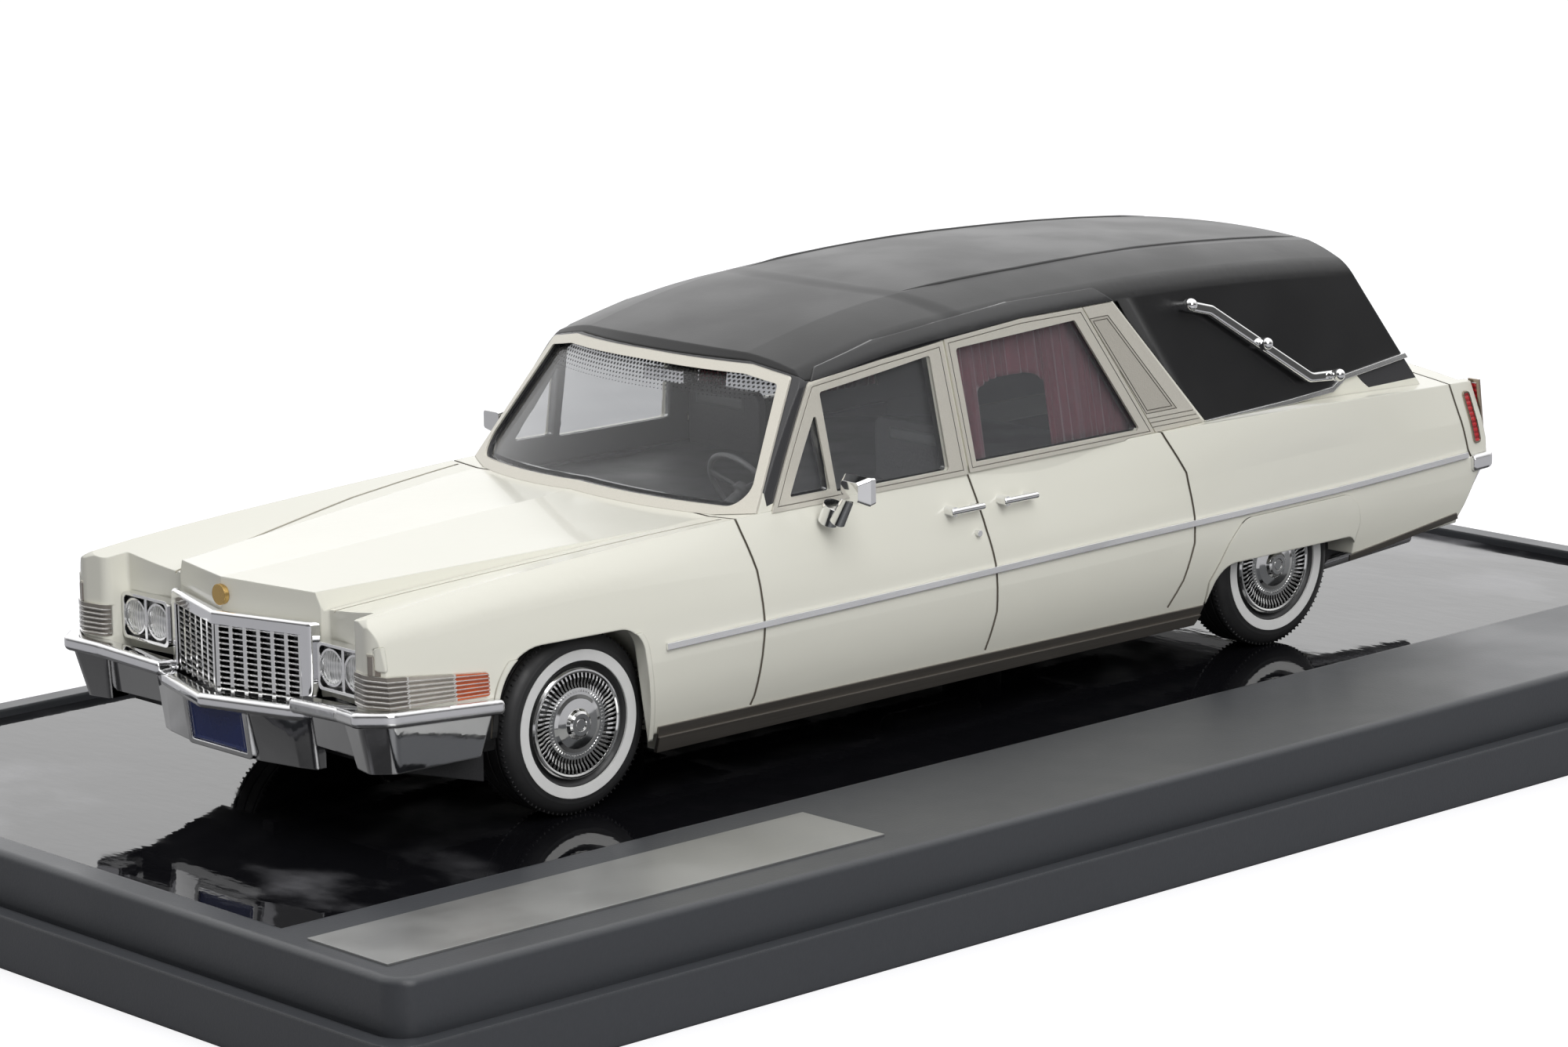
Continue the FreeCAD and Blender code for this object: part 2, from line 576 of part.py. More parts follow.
# ---- Wheels and axles -------------------------------------------------------------------
def revolved(profile, axle_y):
    """Solid of revolution about an axle from a profile of (x, radius) corners."""
    edges = [Part.makeLine(V(a[0], axle_y, TYRE_RADIUS + a[1]), V(b[0], axle_y, TYRE_RADIUS + b[1]))
             for a, b in zip(profile, profile[1:] + profile[:1])]
    face = Part.Face(Part.Wire(edges))
    return face.revolve(V(0, axle_y, TYRE_RADIUS), V(1, 0, 0), 360)


RIM_RADIUS = 5.15
WHITEWALL = (5.75, 6.75)
TREAD_GROOVES = (-1.35, 0.0, 1.35)       # across the tread, from its middle
VANES = (3.25, 4.62)                     # inner and outer radius of the vane ring


def tyre(axle_y):
    """Tyre with rounded shoulders and sidewalls, and grooves round its tread."""
    out = WHEEL_FACE_X + 0.2
    inn = out - TYRE_WIDTH

    def spot(x, share):
        """Point at a share of the way from the rim to the tread."""
        radius = RIM_RADIUS + share * (TYRE_RADIUS - RIM_RADIUS)
        return V(x, axle_y, TYRE_RADIUS + radius)

    edges = [arc(spot(out - 0.7, 0.0), spot(out - 0.12, 0.23), spot(out, 0.49)),
             arc(spot(out, 0.49), spot(out - 0.3, 0.83), spot(out - 1.0, 1.0)),
             Part.makeLine(spot(out - 1.0, 1.0), spot(inn + 1.0, 1.0)),
             arc(spot(inn + 1.0, 1.0), spot(inn + 0.3, 0.83), spot(inn, 0.49)),
             arc(spot(inn, 0.49), spot(inn + 0.12, 0.23), spot(inn + 0.7, 0.0)),
             Part.makeLine(spot(inn + 0.7, 0.0), spot(out - 0.7, 0.0))]
    solid = Part.Face(Part.Wire(edges)).revolve(V(0, axle_y, TYRE_RADIUS), V(1, 0, 0), 360)
    middle = 0.5 * (out + inn)
    for offset in TREAD_GROOVES:
        x = middle + offset * TYRE_WIDTH / 5.4
        solid = solid.cut(revolved([(x - 0.1, TYRE_RADIUS - 0.22), (x + 0.1, TYRE_RADIUS - 0.22),
                                    (x + 0.1, TYRE_RADIUS + 1), (x - 0.1, TYRE_RADIUS + 1)], axle_y))
    return solid


def whitewall(axle_y):
    """White band let into the tyre's outer side, a hair proud of it."""
    out = WHEEL_FACE_X + 0.2
    r0, r1 = WHITEWALL
    return revolved([(out - 0.35, r0), (out + 0.02, r0), (out + 0.07, r1), (out - 0.35, r1)],
                    axle_y)


def rim(axle_y):
    """Steel wheel: barrel inside the tyre, disc, and the hub that takes the axle."""
    out = WHEEL_FACE_X - 0.5
    inn = WHEEL_FACE_X + 0.2 - TYRE_WIDTH + 0.6
    return revolved([(inn, RIM_RADIUS), (inn, 4.5), (out - 1.6, 4.3), (out - 1.6, 1.8),
                     (inn + 0.4, 1.8), (inn + 0.4, AXLE_RADIUS), (out - 0.6, AXLE_RADIUS),
                     (out - 0.6, 4.4), (out, 4.6), (out, RIM_RADIUS)], axle_y)


def vane_ring(axle_y):
    """Ring of raked vanes, cut from a cone so that they rise towards the rolled rim."""
    pitch = 2 * math.pi / FIN_COUNT
    inner, outer = VANES
    corners = []
    for index in range(FIN_COUNT):
        for radius, turn in ((inner, -0.26), (outer, 0.42), (outer, 0.80), (inner, 0.26)):
            angle = (index + turn) * pitch
            corners.append(V(WHEEL_FACE_X - 0.4, axle_y + radius * math.cos(angle),
                             TYRE_RADIUS + radius * math.sin(angle)))
    comb = face_of(corners).extrude(V(0.6, 0, 0))
    face = WHEEL_FACE_X
    cone = revolved([(face - 0.4, 0.0), (face + 0.02, 0.0), (face + 0.02, inner),
                     (face - 0.06, 3.7), (face + 0.1, 4.2), (face + 0.06, outer),
                     (face - 0.4, outer)], axle_y)
    return comb.common(cone)


def hub_cover(axle_y):
    """Bright full wheel cover: rolled rim, turbine vanes, dome, and a plain centre boss."""
    face = WHEEL_FACE_X
    body = revolved([(face - 0.5, 0.0), (face + 0.56, 0.0), (face + 0.56, 0.5),
                     (face + 0.50, 0.56), (face + 0.62, 0.62), (face + 0.62, 1.0),
                     (face + 0.5, 1.22), (face + 0.2, 1.4), (face + 0.12, 2.3),
                     (face - 0.06, 2.95), (face - 0.18, 3.2), (face - 0.32, 3.3),
                     (face - 0.34, 4.5), (face + 0.04, 4.62), (face + 0.12, 4.8),
                     (face + 0.12, 4.95), (face - 0.05, 5.1), (face - 0.5, 5.1)], axle_y)
    return body.fuse(vane_ring(axle_y))


def axle(axle_y):
    reach = WHEEL_FACE_X - 1.1
    return tube_x(AXLE_RADIUS, -reach, reach, axle_y, TYRE_RADIUS)


def wheelsets():
    """Both axles with their wheels: made once about the front axle, then moved back."""
    made = {"axle": axle(FRONT_AXLE_Y), "rims": both(rim(FRONT_AXLE_Y)),
            "tyres": both(tyre(FRONT_AXLE_Y).cut(whitewall(FRONT_AXLE_Y))),
            "whitewalls": both(whitewall(FRONT_AXLE_Y)),
            "hub_covers": both(hub_cover(FRONT_AXLE_Y))}
    named = {}
    for name, piece in made.items():
        named["front_" + name] = piece
        named["rear_" + name] = piece.translated(V(0, REAR_AXLE_Y - FRONT_AXLE_Y, 0))
    return named


# ---- Base plate and underside -----------------------------------------------------------
BASE_PROFILE = [(-19.0, 8.9), (-19.0, 7.2), (-9.6, 4.6), (99.0, 4.6), (102.6, 7.4), (117.5, 9.0),
                (117.5, 10.2), (98.1, 8.9), (98.1, FLOOR_Z), (-2.3, FLOOR_Z), (-4.0, 8.9)]
BEARING_X = (9.6, 13.0)
POST_RADIUS = 3.0
POSTS_Y = (22.0, 70.0)       # mounting posts, drawn stations
CROSS_MEMBERS_Y = (31.0, 50.0, 78.0)


def base_plate(shell):
    """Black floor pan with chassis rails, axle bearings and the two mounting posts."""
    plate = side_prism(BASE_PROFILE, -across(19.5), across(19.5))
    pieces = [plate]
    for side in (-1, 1):
        x = side * 8.4
        pieces.append(box(min(x, x + side * 1.6), max(x, x + side * 1.6), -12.0, along(99.0),
                          3.9, 4.9))
    for axle_y in (FRONT_AXLE_Y, REAR_AXLE_Y):
        for side in (-1, 1):
            x0, x1 = sorted((side * BEARING_X[0], side * BEARING_X[1]))
            pieces.append(box(x0, x1, axle_y - 2.2, axle_y + 2.2, 4.6, TYRE_RADIUS + 2.2))
    for y in POSTS_Y:
        pieces.append(Part.makeCylinder(POST_RADIUS, FLOOR_Z + TYRE_LIFT,
                                        V(0, along(y), -TYRE_LIFT)))
    for y in CROSS_MEMBERS_Y:
        pieces.append(box(-8.6, 8.6, along(y) - 0.7, along(y) + 0.7, 4.1, 5.0))
    pieces.append(Part.makeCylinder(0.9, along(88.0) - 26.0, V(0, 26.0, 4.6), V(0, 1, 0)))
    silencer = Part.makeCylinder(1.3, 12.0, V(5.4, along(53.0), 4.2), V(0, 1, 0))
    pieces.append(soften(silencer, 0.5, lambda edge: edge.Length > 5.0))
    plate = joined(pieces)
    for axle_y in (FRONT_AXLE_Y, REAR_AXLE_Y):
        plate = plate.cut(tube_x(AXLE_RADIUS + AXLE_PLAY, -16.0, 16.0, axle_y, TYRE_RADIUS))
        inner_x = WHEEL_FACE_X - TYRE_WIDTH - 1.1
        radius = TYRE_RADIUS + WELL_GAP
        for side in (-1, 1):
            x0, x1 = sorted((side * inner_x, side * 30.0))
            plate = plate.cut(box(x0, x1, axle_y - radius, axle_y + radius, 0.0, 20.0))
        plate = plate.cut(box(-BEARING_X[0], BEARING_X[0], axle_y - 3.0, axle_y + 3.0,
                              4.9, 20.0))
    for y in POSTS_Y:
        plate = plate.cut(Part.makeCylinder(SCREW_RADIUS, 5.0, V(0, along(y), -TYRE_LIFT)))
    return plate.cut(shell)


def tailpipe():
    """Exhaust pipe under the rear corner, with its bore."""
    x = across(14.6)
    pipe = Part.makeCylinder(0.75, 17.0, V(x, along(103.0), 5.0), V(0, 1, 0.06))
    bore = Part.makeCylinder(0.5, 3.0, V(x, along(117.6), 5.87), V(0, 1, 0.06))
    hanger = box(x - 0.4, x + 0.4, along(110.0), along(111.0), 5.6, 8.1)
    return joined([pipe, hanger]).cut(bore)


# ---- Interior ---------------------------------------------------------------------------
ROOM = body_loft(-WALL - LOOSE - LINING - LOOSE)


def interior_tub():
    """Floor, door linings and firewall under the windows."""
    outer = body_loft(-WALL - LOOSE)
    inner = body_loft(-WALL - LOOSE - LINING)
    room = box(-WIDE, WIDE, 16.5, along(77.6), FLOOR_Z, 21.8)
    lining = outer.cut(inner).common(room)
    floor = outer.common(box(-WIDE, WIDE, 16.5, along(77.6), FLOOR_Z, FLOOR_Z + LINING))
    firewall = outer.common(box(-WIDE, WIDE, 16.5, 17.4, FLOOR_Z, 21.8))
    return joined([lining, floor, firewall])


def dashboard():
    panel = side_prism([(17.6, 21.9), (18.2, 22.6), (24.0, 22.4), (26.4, 21.0), (26.0, 19.6),
                       (24.4, 18.4), (23.4, 14.2), (17.6, 14.2)], -across(18.4), across(18.4))
    return panel.common(ROOM)


def steering_wheel():
    """Wheel with three spokes on its column, on the car's left."""
    x, y, z = across(9.3), 28.6, 19.6
    lean = 62.0
    ring = Part.makeTorus(4.2, 0.33)
    hub = Part.makeCylinder(0.9, 0.8, V(0, 0, -0.6))
    spokes = []
    for angle in (-25.0, 205.0, 90.0):
        spoke = box(0.0, 4.2, -0.3, 0.3, -0.25, 0.15)
        spoke.rotate(V(0, 0, 0), V(0, 0, 1), angle)
        spokes.append(spoke)
    column = Part.makeCylinder(0.5, 5.2, V(0, 0, -5.4))
    wheel = joined([ring, hub, column] + spokes)
    wheel.rotate(V(0, 0, 0), V(1, 0, 0), -lean)
    wheel.translate(V(x, y, z))
    return largest(wheel.cut(dashboard()).common(ROOM))


def front_seat():
    cushion = side_prism([(33.0, 6.7), (33.0, 12.4), (34.2, 13.4), (42.8, 12.8), (42.8, 6.7)],
                         -across(17.4), across(17.4))
    back = side_prism([(41.6, 12.0), (44.6, 24.2), (45.6, 25.0), (47.0, 24.6), (47.4, 22.0),
                       (46.4, 6.7), (41.6, 6.7)], -across(17.4), across(17.4))
    return joined([cushion, back]).common(ROOM)


def partition():
    panel = box(-WIDE, WIDE, 49.0, 49.8, FLOOR_Z + LINING, 22.6)
    return panel.common(ROOM)


def casket_deck():
    """Load floor with its skid strips, from the partition to the rear door."""
    wide = across(13.4)
    deck = box(-wide, wide, 50.2, along(112.6), DECK_Z, DECK_Z + 1.0)
    strips = [box(x - 0.5, x + 0.5, 54.0, along(111.0), DECK_Z + 1.0, DECK_Z + 1.4)
              for x in (-9.0, -3.0, 3.0, 9.0)]
    foot_z = FLOOR_Z + LINING + LOOSE
    legs = [box(x - 0.5, x + 0.5, 52.0, along(76.0), foot_z, DECK_Z).common(ROOM) for x in (-11, 11)]
    return joined([deck] + strips + legs)


CURTAIN_ARCH = [(53.4, 20.0, 0), (53.6, 31.8, 2.0), (62.4, 31.8, 2.0), (62.4, 20.0, 0)]


def curtains():
    """Side curtains behind the rear door glass, each with an arched opening."""
    cloth = cabin_solid(-1.5).cut(cabin_solid(-2.1))
    side = cloth.common(rounded_side([(50.0, 24.0, 0), (49.6, 36.4, 0), (67.0, 37.0, 0),
                                      (75.0, 24.0, 0)], 5.0, WIDE))
    return both(side.cut(rounded_side(CURTAIN_ARCH, 5.0, WIDE)))


# ---- Front end --------------------------------------------------------------------------
BLADE_Z = (12.5, 13.9)       # at the front corners, where the blade is highest
BLADE_FALL_X, BLADE_FALL_Y = 0.065, 0.07     # it falls inwards and rearwards by these
PLATE = (4.1, 7.0)           # half-width and foot height of the plate
PLATE_TOP = 10.75
PLATE_LEAN = 0.13


def bead(outline, z0, z1, radius):
    """Upright prism with its long outer edges rolled over."""
    prism = rounded_plan(outline, z0, z1)
    return soften(prism, radius, lambda e: e.BoundBox.ZLength < 1e-6 and e.Length > 0.8)


def bumper_blade():
    """Rolled bright blade from beside the grille round the corner to the wheel arch."""
    outline = [(9.7, -23.3, 0.3), (17.6, -24.2, 4.0), (21.5, -25.3, 0.8), (23.9, -22.8, 2.0),
               (24.15, -10.5, 0.4), (22.7, -10.5, 0.3), (22.5, -19.9, 2.0), (20.6, -22.3, 2.0),
               (17.6, -21.9, 4.0), (9.7, -21.1, 0.3)]
    blade = bead(outline, BLADE_Z[0], BLADE_Z[1], 0.45)
    shear = FreeCAD.Matrix()
    shear.A31 = BLADE_FALL_X
    shear.A32 = -BLADE_FALL_Y
    shear.A34 = -BLADE_FALL_X * across(21.5) - BLADE_FALL_Y * 25.3
    return blade.transformGeometry(shear)


def bumper_corner():
    """Lower face under the blade at the corner, leaning in towards its foot."""
    top = [(17.3, -23.5, 0.5), (21.3, -24.6, 0.8), (23.4, -22.5, 1.6), (23.6, -11.1, 0.2),
           (22.6, -11.1, 0.2), (22.2, -20.2, 1.2), (20.4, -21.9, 1.0), (17.3, -21.3, 0.2)]
    foot = [(18.2, -22.6, 0.5), (20.9, -23.2, 0.8), (22.5, -21.5, 1.6), (22.9, -12.4, 0.2),
            (22.0, -12.4, 0.2), (21.5, -19.2, 1.2), (19.8, -20.8, 1.0), (18.2, -20.4, 0.2)]
    return tapered_plan(top, foot, 12.9, 8.0)


def bumper_middle():
    """Recessed face between the plate block and the corner."""
    top = [(11.2, -22.3, 0), (18.4, -22.9, 0), (18.4, -21.2, 0), (11.2, -20.8, 0)]
    foot = [(11.2, -21.7, 0), (18.6, -22.0, 0), (18.6, -20.4, 0), (11.2, -20.2, 0)]
    return tapered_plan(top, foot, 12.6, 8.7)


def plate_block():
    """V-shaped centre block that carries the plate, and its frame at the sides and foot."""
    top = reflected_corners([(0.0, -24.3, 0), (5.0, -24.2, 0.6), (9.2, -22.9, 0.4),
                             (11.5, -22.3, 0.5), (11.5, -20.6, 0.2), (0.0, -21.6, 0)])
    foot = reflected_corners([(0.0, -23.1, 0), (5.0, -23.1, 0.6), (9.6, -22.2, 0.4),
                              (11.3, -21.6, 0.5), (11.3, -20.4, 0.2), (0.0, -21.2, 0)])
    block_solid = tapered_plan(top, foot, 11.4, 6.4)
    border = [(-4.75, 6.5, 0.5), (-4.75, 11.0, 0), (4.75, 11.0, 0), (4.75, 6.5, 0.5)]
    frame = rounded_front(border, -23.7, -22.0).cut(rounded_front(
        [(-PLATE[0], PLATE[1], 0.2), (-PLATE[0], 12.0, 0), (PLATE[0], 12.0, 0),
         (PLATE[0], PLATE[1], 0.2)], -26.0, -20.0))
    lean = FreeCAD.Matrix()
    lean.A23 = -PLATE_LEAN
    lean.A24 = PLATE_LEAN * 6.5
    return block_solid.fuse(frame.transformGeometry(lean))


def front_bumper():
    """V bar under the grille, rolled blades round the corners, and the lower faces."""
    bar = bead(reflected_corners([(0.0, -26.0, 0.8), (9.4, -23.2, 1.2), (11.3, -22.2, 0.5),
                                  (11.3, -21.2, 0.2), (9.0, -21.6, 0), (0.0, -24.3, 0)]),
               10.8, 12.15, 0.5)
    parts = [bar, plate_block()]
    for piece in (bumper_blade(), bumper_corner(), bumper_middle()):
        parts += [piece, mirrored(piece)]
    return joined(parts)


def rear_bumper():
    """Rolled bar across the tail with wrapped ends, over a lower face that tucks under."""
    def around(grow, ahead, depth):
        return reflected_corners([(0.0, 125.2 - ahead + grow, 0),
                                  (22.9 + grow, 124.0 - ahead + grow, 1.6),
                                  (23.3 + grow, 120.3 - ahead, 0.2),
                                  (23.3 + grow - depth, 120.3 - ahead, 0),
                                  (22.9 + grow - depth, 123.2 - ahead - depth, 0.9),
                                  (0.0, 124.3 - ahead - depth, 0)])

    bar = bead(around(0.3, 0.0, 1.1), 14.0, 15.8, 0.5)
    lower = tapered_plan(around(-0.6, -0.6, 0.7), around(-1.2, 2.15, 0.7), 14.4, 9.3)
    return joined([bar, lower])


GRILLE_FOOT, GRILLE_TOP = 12.0, 18.2


def grille_surround():
    """Bright header and side posts round the grille opening, V-shaped in plan."""
    front = reflected_corners([(0.0, -24.2, 0), (10.2, -21.2, 0.5), (10.6, -20.2, 0),
                               (0.0, -23.1, 0)])
    surround = rounded_plan(front, GRILLE_FOOT, GRILLE_TOP + 1.2)
    surround = soften(surround, 0.35, lambda e: e.BoundBox.ZMin > GRILLE_TOP + 1.0
                      and e.BoundBox.Center.y < -20.5 and e.BoundBox.YLength > 0.4
                      and abs(e.BoundBox.Center.x) < 9.0)
    hole = plan_prism(reflected([(0.0, -27.0), (9.3, -24.0), (9.3, -18.0), (0.0, -18.0)]),
                      10.0, GRILLE_TOP)
    return surround.cut(hole)


GRILLE_UPRIGHTS, GRILLE_ROWS = 7, 12


def grille():
    """Egg-crate grille in two flat halves: uprights over short bars with bevelled fronts."""
    angle = math.degrees(math.atan2(3.1, 10.35))
    half_width = across(9.25) / math.cos(math.radians(angle))
    bars = []
    for index in range(GRILLE_UPRIGHTS):
        x = 0.3 + index * (half_width - 0.6) / (GRILLE_UPRIGHTS - 1)
        bars.append(box(x - 0.2, x + 0.2, -0.1, 0.9, GRILLE_FOOT, GRILLE_TOP))
    pitch = (GRILLE_TOP - GRILLE_FOOT) / GRILLE_ROWS
    for index in range(GRILLE_ROWS):
        z = GRILLE_FOOT + (index + 0.5) * pitch
        bars.append(side_prism([(0.16, z + 0.06), (0.16, z - 0.06), (0.3, z - 0.14),
                                (0.8, z - 0.1), (0.8, z + 0.1), (0.3, z + 0.14)],
                               0.0, half_width))
    half = joined(bars)
    half.rotate(V(0, 0, 0), V(0, 0, 1), angle)
    half.translate(V(0, -23.85, 0))
    half = half.common(box(0, across(9.3), -40, 0, 0, 40))
    return joined([half, mirrored(half)])


def grille_backing():
    """Dark plate across the opening behind the bars."""
    plan = reflected([(0.0, -22.4), (9.3, -19.6), (9.3, -19.3), (0.0, -22.1)])
    return plan_prism(plan, GRILLE_FOOT, GRILLE_TOP)


def grille_pocket():
    plan = reflected([(0.0, -26.0), (9.3, -23.2), (9.3, -19.3), (0.0, -22.1)])
    return plan_prism(plan, GRILLE_FOOT, GRILLE_TOP)


BEZEL_X = (11.1, 18.1)       # between the grille and the fender
LAMP_Z = 15.75
LAMP_RADIUS = (across(BEZEL_X[1]) - across(BEZEL_X[0])) / 4.0 - 0.25
LAMP_CENTRES = [BEZEL_X[0] + share * (BEZEL_X[1] - BEZEL_X[0]) for share in (0.25, 0.75)]


def headlamp_bezels():
    """Bright double-lamp frame: raised border, sunk field, and a collar round each lamp."""
    x0, x1 = BEZEL_X
    z0, z1 = 13.6, 17.9
    middle = 0.5 * (x0 + x1)

    def plate_of(inset, y0, y1):
        return rounded_front([(x0 + inset, z0 + inset, 0.5), (x0 + inset, z1 - inset, 0.5),
                              (x1 - inset, z1 - inset, 0.5), (x1 - inset, z0 + inset, 0.5)],
                             y0, y1)

    plate = plate_of(0.0, -21.0, -19.7).cut(plate_of(0.28, -22.0, -20.35))
    parts = [plate, rounded_front([(middle - 0.18, z0, 0), (middle - 0.18, z1, 0),
                                   (middle + 0.18, z1, 0), (middle + 0.18, z0, 0)], -20.9, -20.0)]
    for x in LAMP_CENTRES:
        parts.append(Part.makeCylinder(LAMP_RADIUS + 0.2, 0.95, V(across(x), -20.85, LAMP_Z),
                                       V(0, 1, 0)))
    plate = joined(parts).common(plate_of(0.0, -21.0, -19.7))
    for x in LAMP_CENTRES:
        plate = plate.cut(Part.makeCylinder(LAMP_RADIUS, 4.0, V(across(x), -22, LAMP_Z), V(0, 1, 0)))
    return both(plate)


def headlamp_lenses():
    lamps = []
    for x in LAMP_CENTRES:
        ball = Part.makeSphere(4.2, V(across(x), -20.95 + 4.2, LAMP_Z))
        barrel = Part.makeCylinder(LAMP_RADIUS, 1.3, V(across(x), -21.0, LAMP_Z), V(0, 1, 0))
        lamps.append(ball.common(barrel))
    return both(Part.makeCompound(lamps))


TURN_LAMP = [(-26.0, 14.0, 0), (-26.0, 16.9, 0), (-23.0, 16.8, 0), (-11.6, 15.4, 0.3),
             (-11.6, 13.4, 0.3)]
LAMP_RIBS = 6


def turn_lamp_solid():
    """Wrap-round lamp with grooves between its ribs, which fan out towards the front."""
    outer = body_loft(0.2).common(trimmed_ends(0.25))
    inner = body_loft(-0.6).common(trimmed_ends(-0.5))
    lamp = outer.cut(inner).common(rounded_side(TURN_LAMP, across(18.3), WIDE))
    grooves = []
    for index in range(1, LAMP_RIBS):
        share = index / LAMP_RIBS
        front_z, rear_z = 14.0 + share * 2.9, 13.4 + share * 2.0
        grooves.append(side_prism(band([(-26.0, front_z), (-11.0, rear_z)], 0.16), 5.0, WIDE))
    sunk = body_loft(0.04).common(trimmed_ends(0.09))
    return lamp.cut(Part.makeCompound(grooves).cut(sunk))


AMBER_FROM = -15.2           # the rear part of the lamp is amber


def turn_lamps():
    """The lamp's clear front part and its amber rear part, on both sides."""
    lamp = turn_lamp_solid()
    clear = lamp.common(box(0, WIDE, -40.0, AMBER_FROM, 0, 40))
    amber = lamp.common(box(0, WIDE, AMBER_FROM, 0.0, 0, 40))
    return both(clear), both(amber)


def side_markers():
    """Small upright lamps let into the fender's front corner."""
    outline = [(-22.95, 17.2, 0.25), (-22.95, 19.3, 0.25), (-22.2, 19.3, 0.25), (-22.2, 17.2, 0.25)]
    outer = body_loft(0.1).common(trimmed_ends(0.1))
    inner = body_loft(-0.3).common(trimmed_ends(-0.3))
    return both(outer.cut(inner).common(rounded_side(outline, across(21.3), WIDE)))


def hood_badge():
    """Small plain oval on the front of the hood."""
    badge = Part.makeCylinder(0.95, 0.5, V(0, -23.3, 20.7), V(0, 1, 0))
    return badge.cut(LOWER)


def licence_plate():
    """Blank plate in its bright frame, leaning a little forward."""
    half = across(PLATE[0]) - FIT
    foot_y, top_y = -23.62, -23.62 - PLATE_LEAN * (PLATE_TOP - PLATE[1])
    foot_z = PLATE[1] + FIT
    face = face_of([V(-half, foot_y, foot_z), V(-half, top_y, PLATE_TOP),
                    V(half, top_y, PLATE_TOP), V(half, foot_y, foot_z)])
    return face.extrude(V(0, 0.3, 0))


def inside_mirror():
    glass = box(-2.6, 2.6, 29.4, 29.8, 32.8, 34.0)
    stem = box(-0.25, 0.25, 28.9, 29.5, 33.2, 36.0)
    return joined([glass, stem]).common(CABIN_INNER)


# ---- Trim on the sides ------------------------------------------------------------------
TRIM_SKIN = body_loft(0.28).cut(LOWER_GLUE)
SILL_SKIN = body_loft(0.34).cut(LOWER_GLUE)


def side_trims():
    """Bright strip along the flank, standing over the skirt that it crosses."""
    return both(TRIM_SKIN.common(side_prism(band(TRIM_LINE, 0.6), 5.0, WIDE)))


def rocker_trims():
    """Sill moulding in two steps, and the narrow strip under the rear quarter."""
    foot = [(8.8, ROCKER_FOOT), (8.6, ROCKER_STEP), (80.2, ROCKER_STEP - 0.5), (79.6, ROCKER_FOOT)]
    head = [(8.6, ROCKER_STEP), (8.4, ROCKER_TOP + 0.2), (80.4, ROCKER_TOP - 0.4),
            (80.2, ROCKER_STEP - 0.5)]
    tail = [(101.7, 7.4), (101.6, 8.05), (112.0, 9.25), (118.1, 9.95), (118.4, 9.3), (112.0, 8.6)]
    thin = body_loft(0.2).cut(LOWER_GLUE)
    sill = SILL_SKIN.common(side_prism(foot, 5.0, WIDE)).fuse(thin.common(side_prism(head, 5.0, WIDE)))
    rear = thin.common(side_prism(tail, 5.0, WIDE))
    return both(Part.makeCompound([sill, rear]))


BELT_LINE = [(82.4, 24.15), (94.4, 24.5), (101.5, 24.9), (103.6, 25.9), (113.0, 26.75),
             (126.0, 27.5)]


def belt_trims():
    """Bright moulding under the black rear quarter, round the back of the car."""
    half = 0.26
    outline = ([(y, z + half) for y, z in BELT_LINE]
               + [(y, z - half) for y, z in reversed(BELT_LINE)])
    layer = cabin_solid(0.34).cut(CABIN_GLUE)
    return layer.common(side_prism(outline, -WIDE, WIDE)).cut(LOWER_GLUE)


def door_handle(y0, y1):
    """Round grip on two feet; the forward one carries the push button."""
    x, z = across(22.62), 20.95
    grip = Part.makeCylinder(0.33, y1 - y0, V(x, y0, z), V(0, 1, 0))
    grip = soften(grip, 0.15, lambda edge: edge.Closed)
    feet = [Part.makeCylinder(0.46, 1.7, V(x - 1.6, y0 + 0.5, z), V(1, 0, 0)),
            Part.makeCylinder(0.27, 1.6, V(x - 1.6, y1 - 0.6, z), V(1, 0, 0))]
    return joined([grip] + feet)


def door_handles():
    """Four handles, the lock under each front one, and the handle of the rear door."""
    pieces = [door_handle(45.2, 49.6), door_handle(along(52.2), along(52.2) + 4.6),
              Part.makeCylinder(0.3, 2.2, V(across(20.6), 48.9, 18.4), V(1, 0, 0))]
    side = both(Part.makeCompound(pieces).cut(LOWER))
    rear = joined([box(-1.9, 1.9, along(122.1), along(122.5), 20.4, 20.9)]
                  + [Part.makeCylinder(0.35, 1.6, V(x, along(120.8), 20.65), V(0, 1, 0))
                     for x in (-1.4, 1.4)])
    return Part.makeCompound([side, rear.cut(LOWER)])


def door_mirrors():
    """Rectangular head with a tapered back, on a stem and an oval foot."""
    def outline(x0, x1, z0, z1, y):
        corners = [(x0, z0, 0.3), (x0, z1, 0.3), (x1, z1, 0.3), (x1, z0, 0.3)]
        return rounded_face(corners, lambda x, z: V(across(x), y, z)).OuterWire

    back = Part.makeLoft([outline(24.6, 26.9, 24.9, 26.7, 29.2), outline(23.9, 27.5, 24.4, 27.1, 30.3)],
                         True, True)
    rim = Part.makeLoft([outline(23.9, 27.5, 24.4, 27.1, 30.3), outline(24.0, 27.4, 24.5, 27.0, 31.0)],
                        True, True)
    glass_recess = Part.makeLoft([outline(24.3, 27.1, 24.8, 26.7, 30.8),
                                  outline(24.3, 27.1, 24.8, 26.7, 32.0)], True, True)
    stem = Part.makeCone(0.6, 0.8, 3.2, V(across(24.9), 30.1, 25.2), V(-0.62, 0, -1))
    foot = Part.makeCylinder(1.0, 1.9, V(across(21.9), 30.1, 22.3), V(0.5, 0, 1))
    head = joined([back, rim, stem]).cut(glass_recess)
    return both(largest(joined([head, foot]).cut(LOWER).cut(CABIN_ETCHED)))


LANDAU_LINE = [(80.8, 36.0), (84.3, 35.1), (97.6, 26.6), (101.0, 26.4)]
SIDE_LEAN = math.degrees(math.atan2(20.9 - 18.35, 37.3 - 22.0))


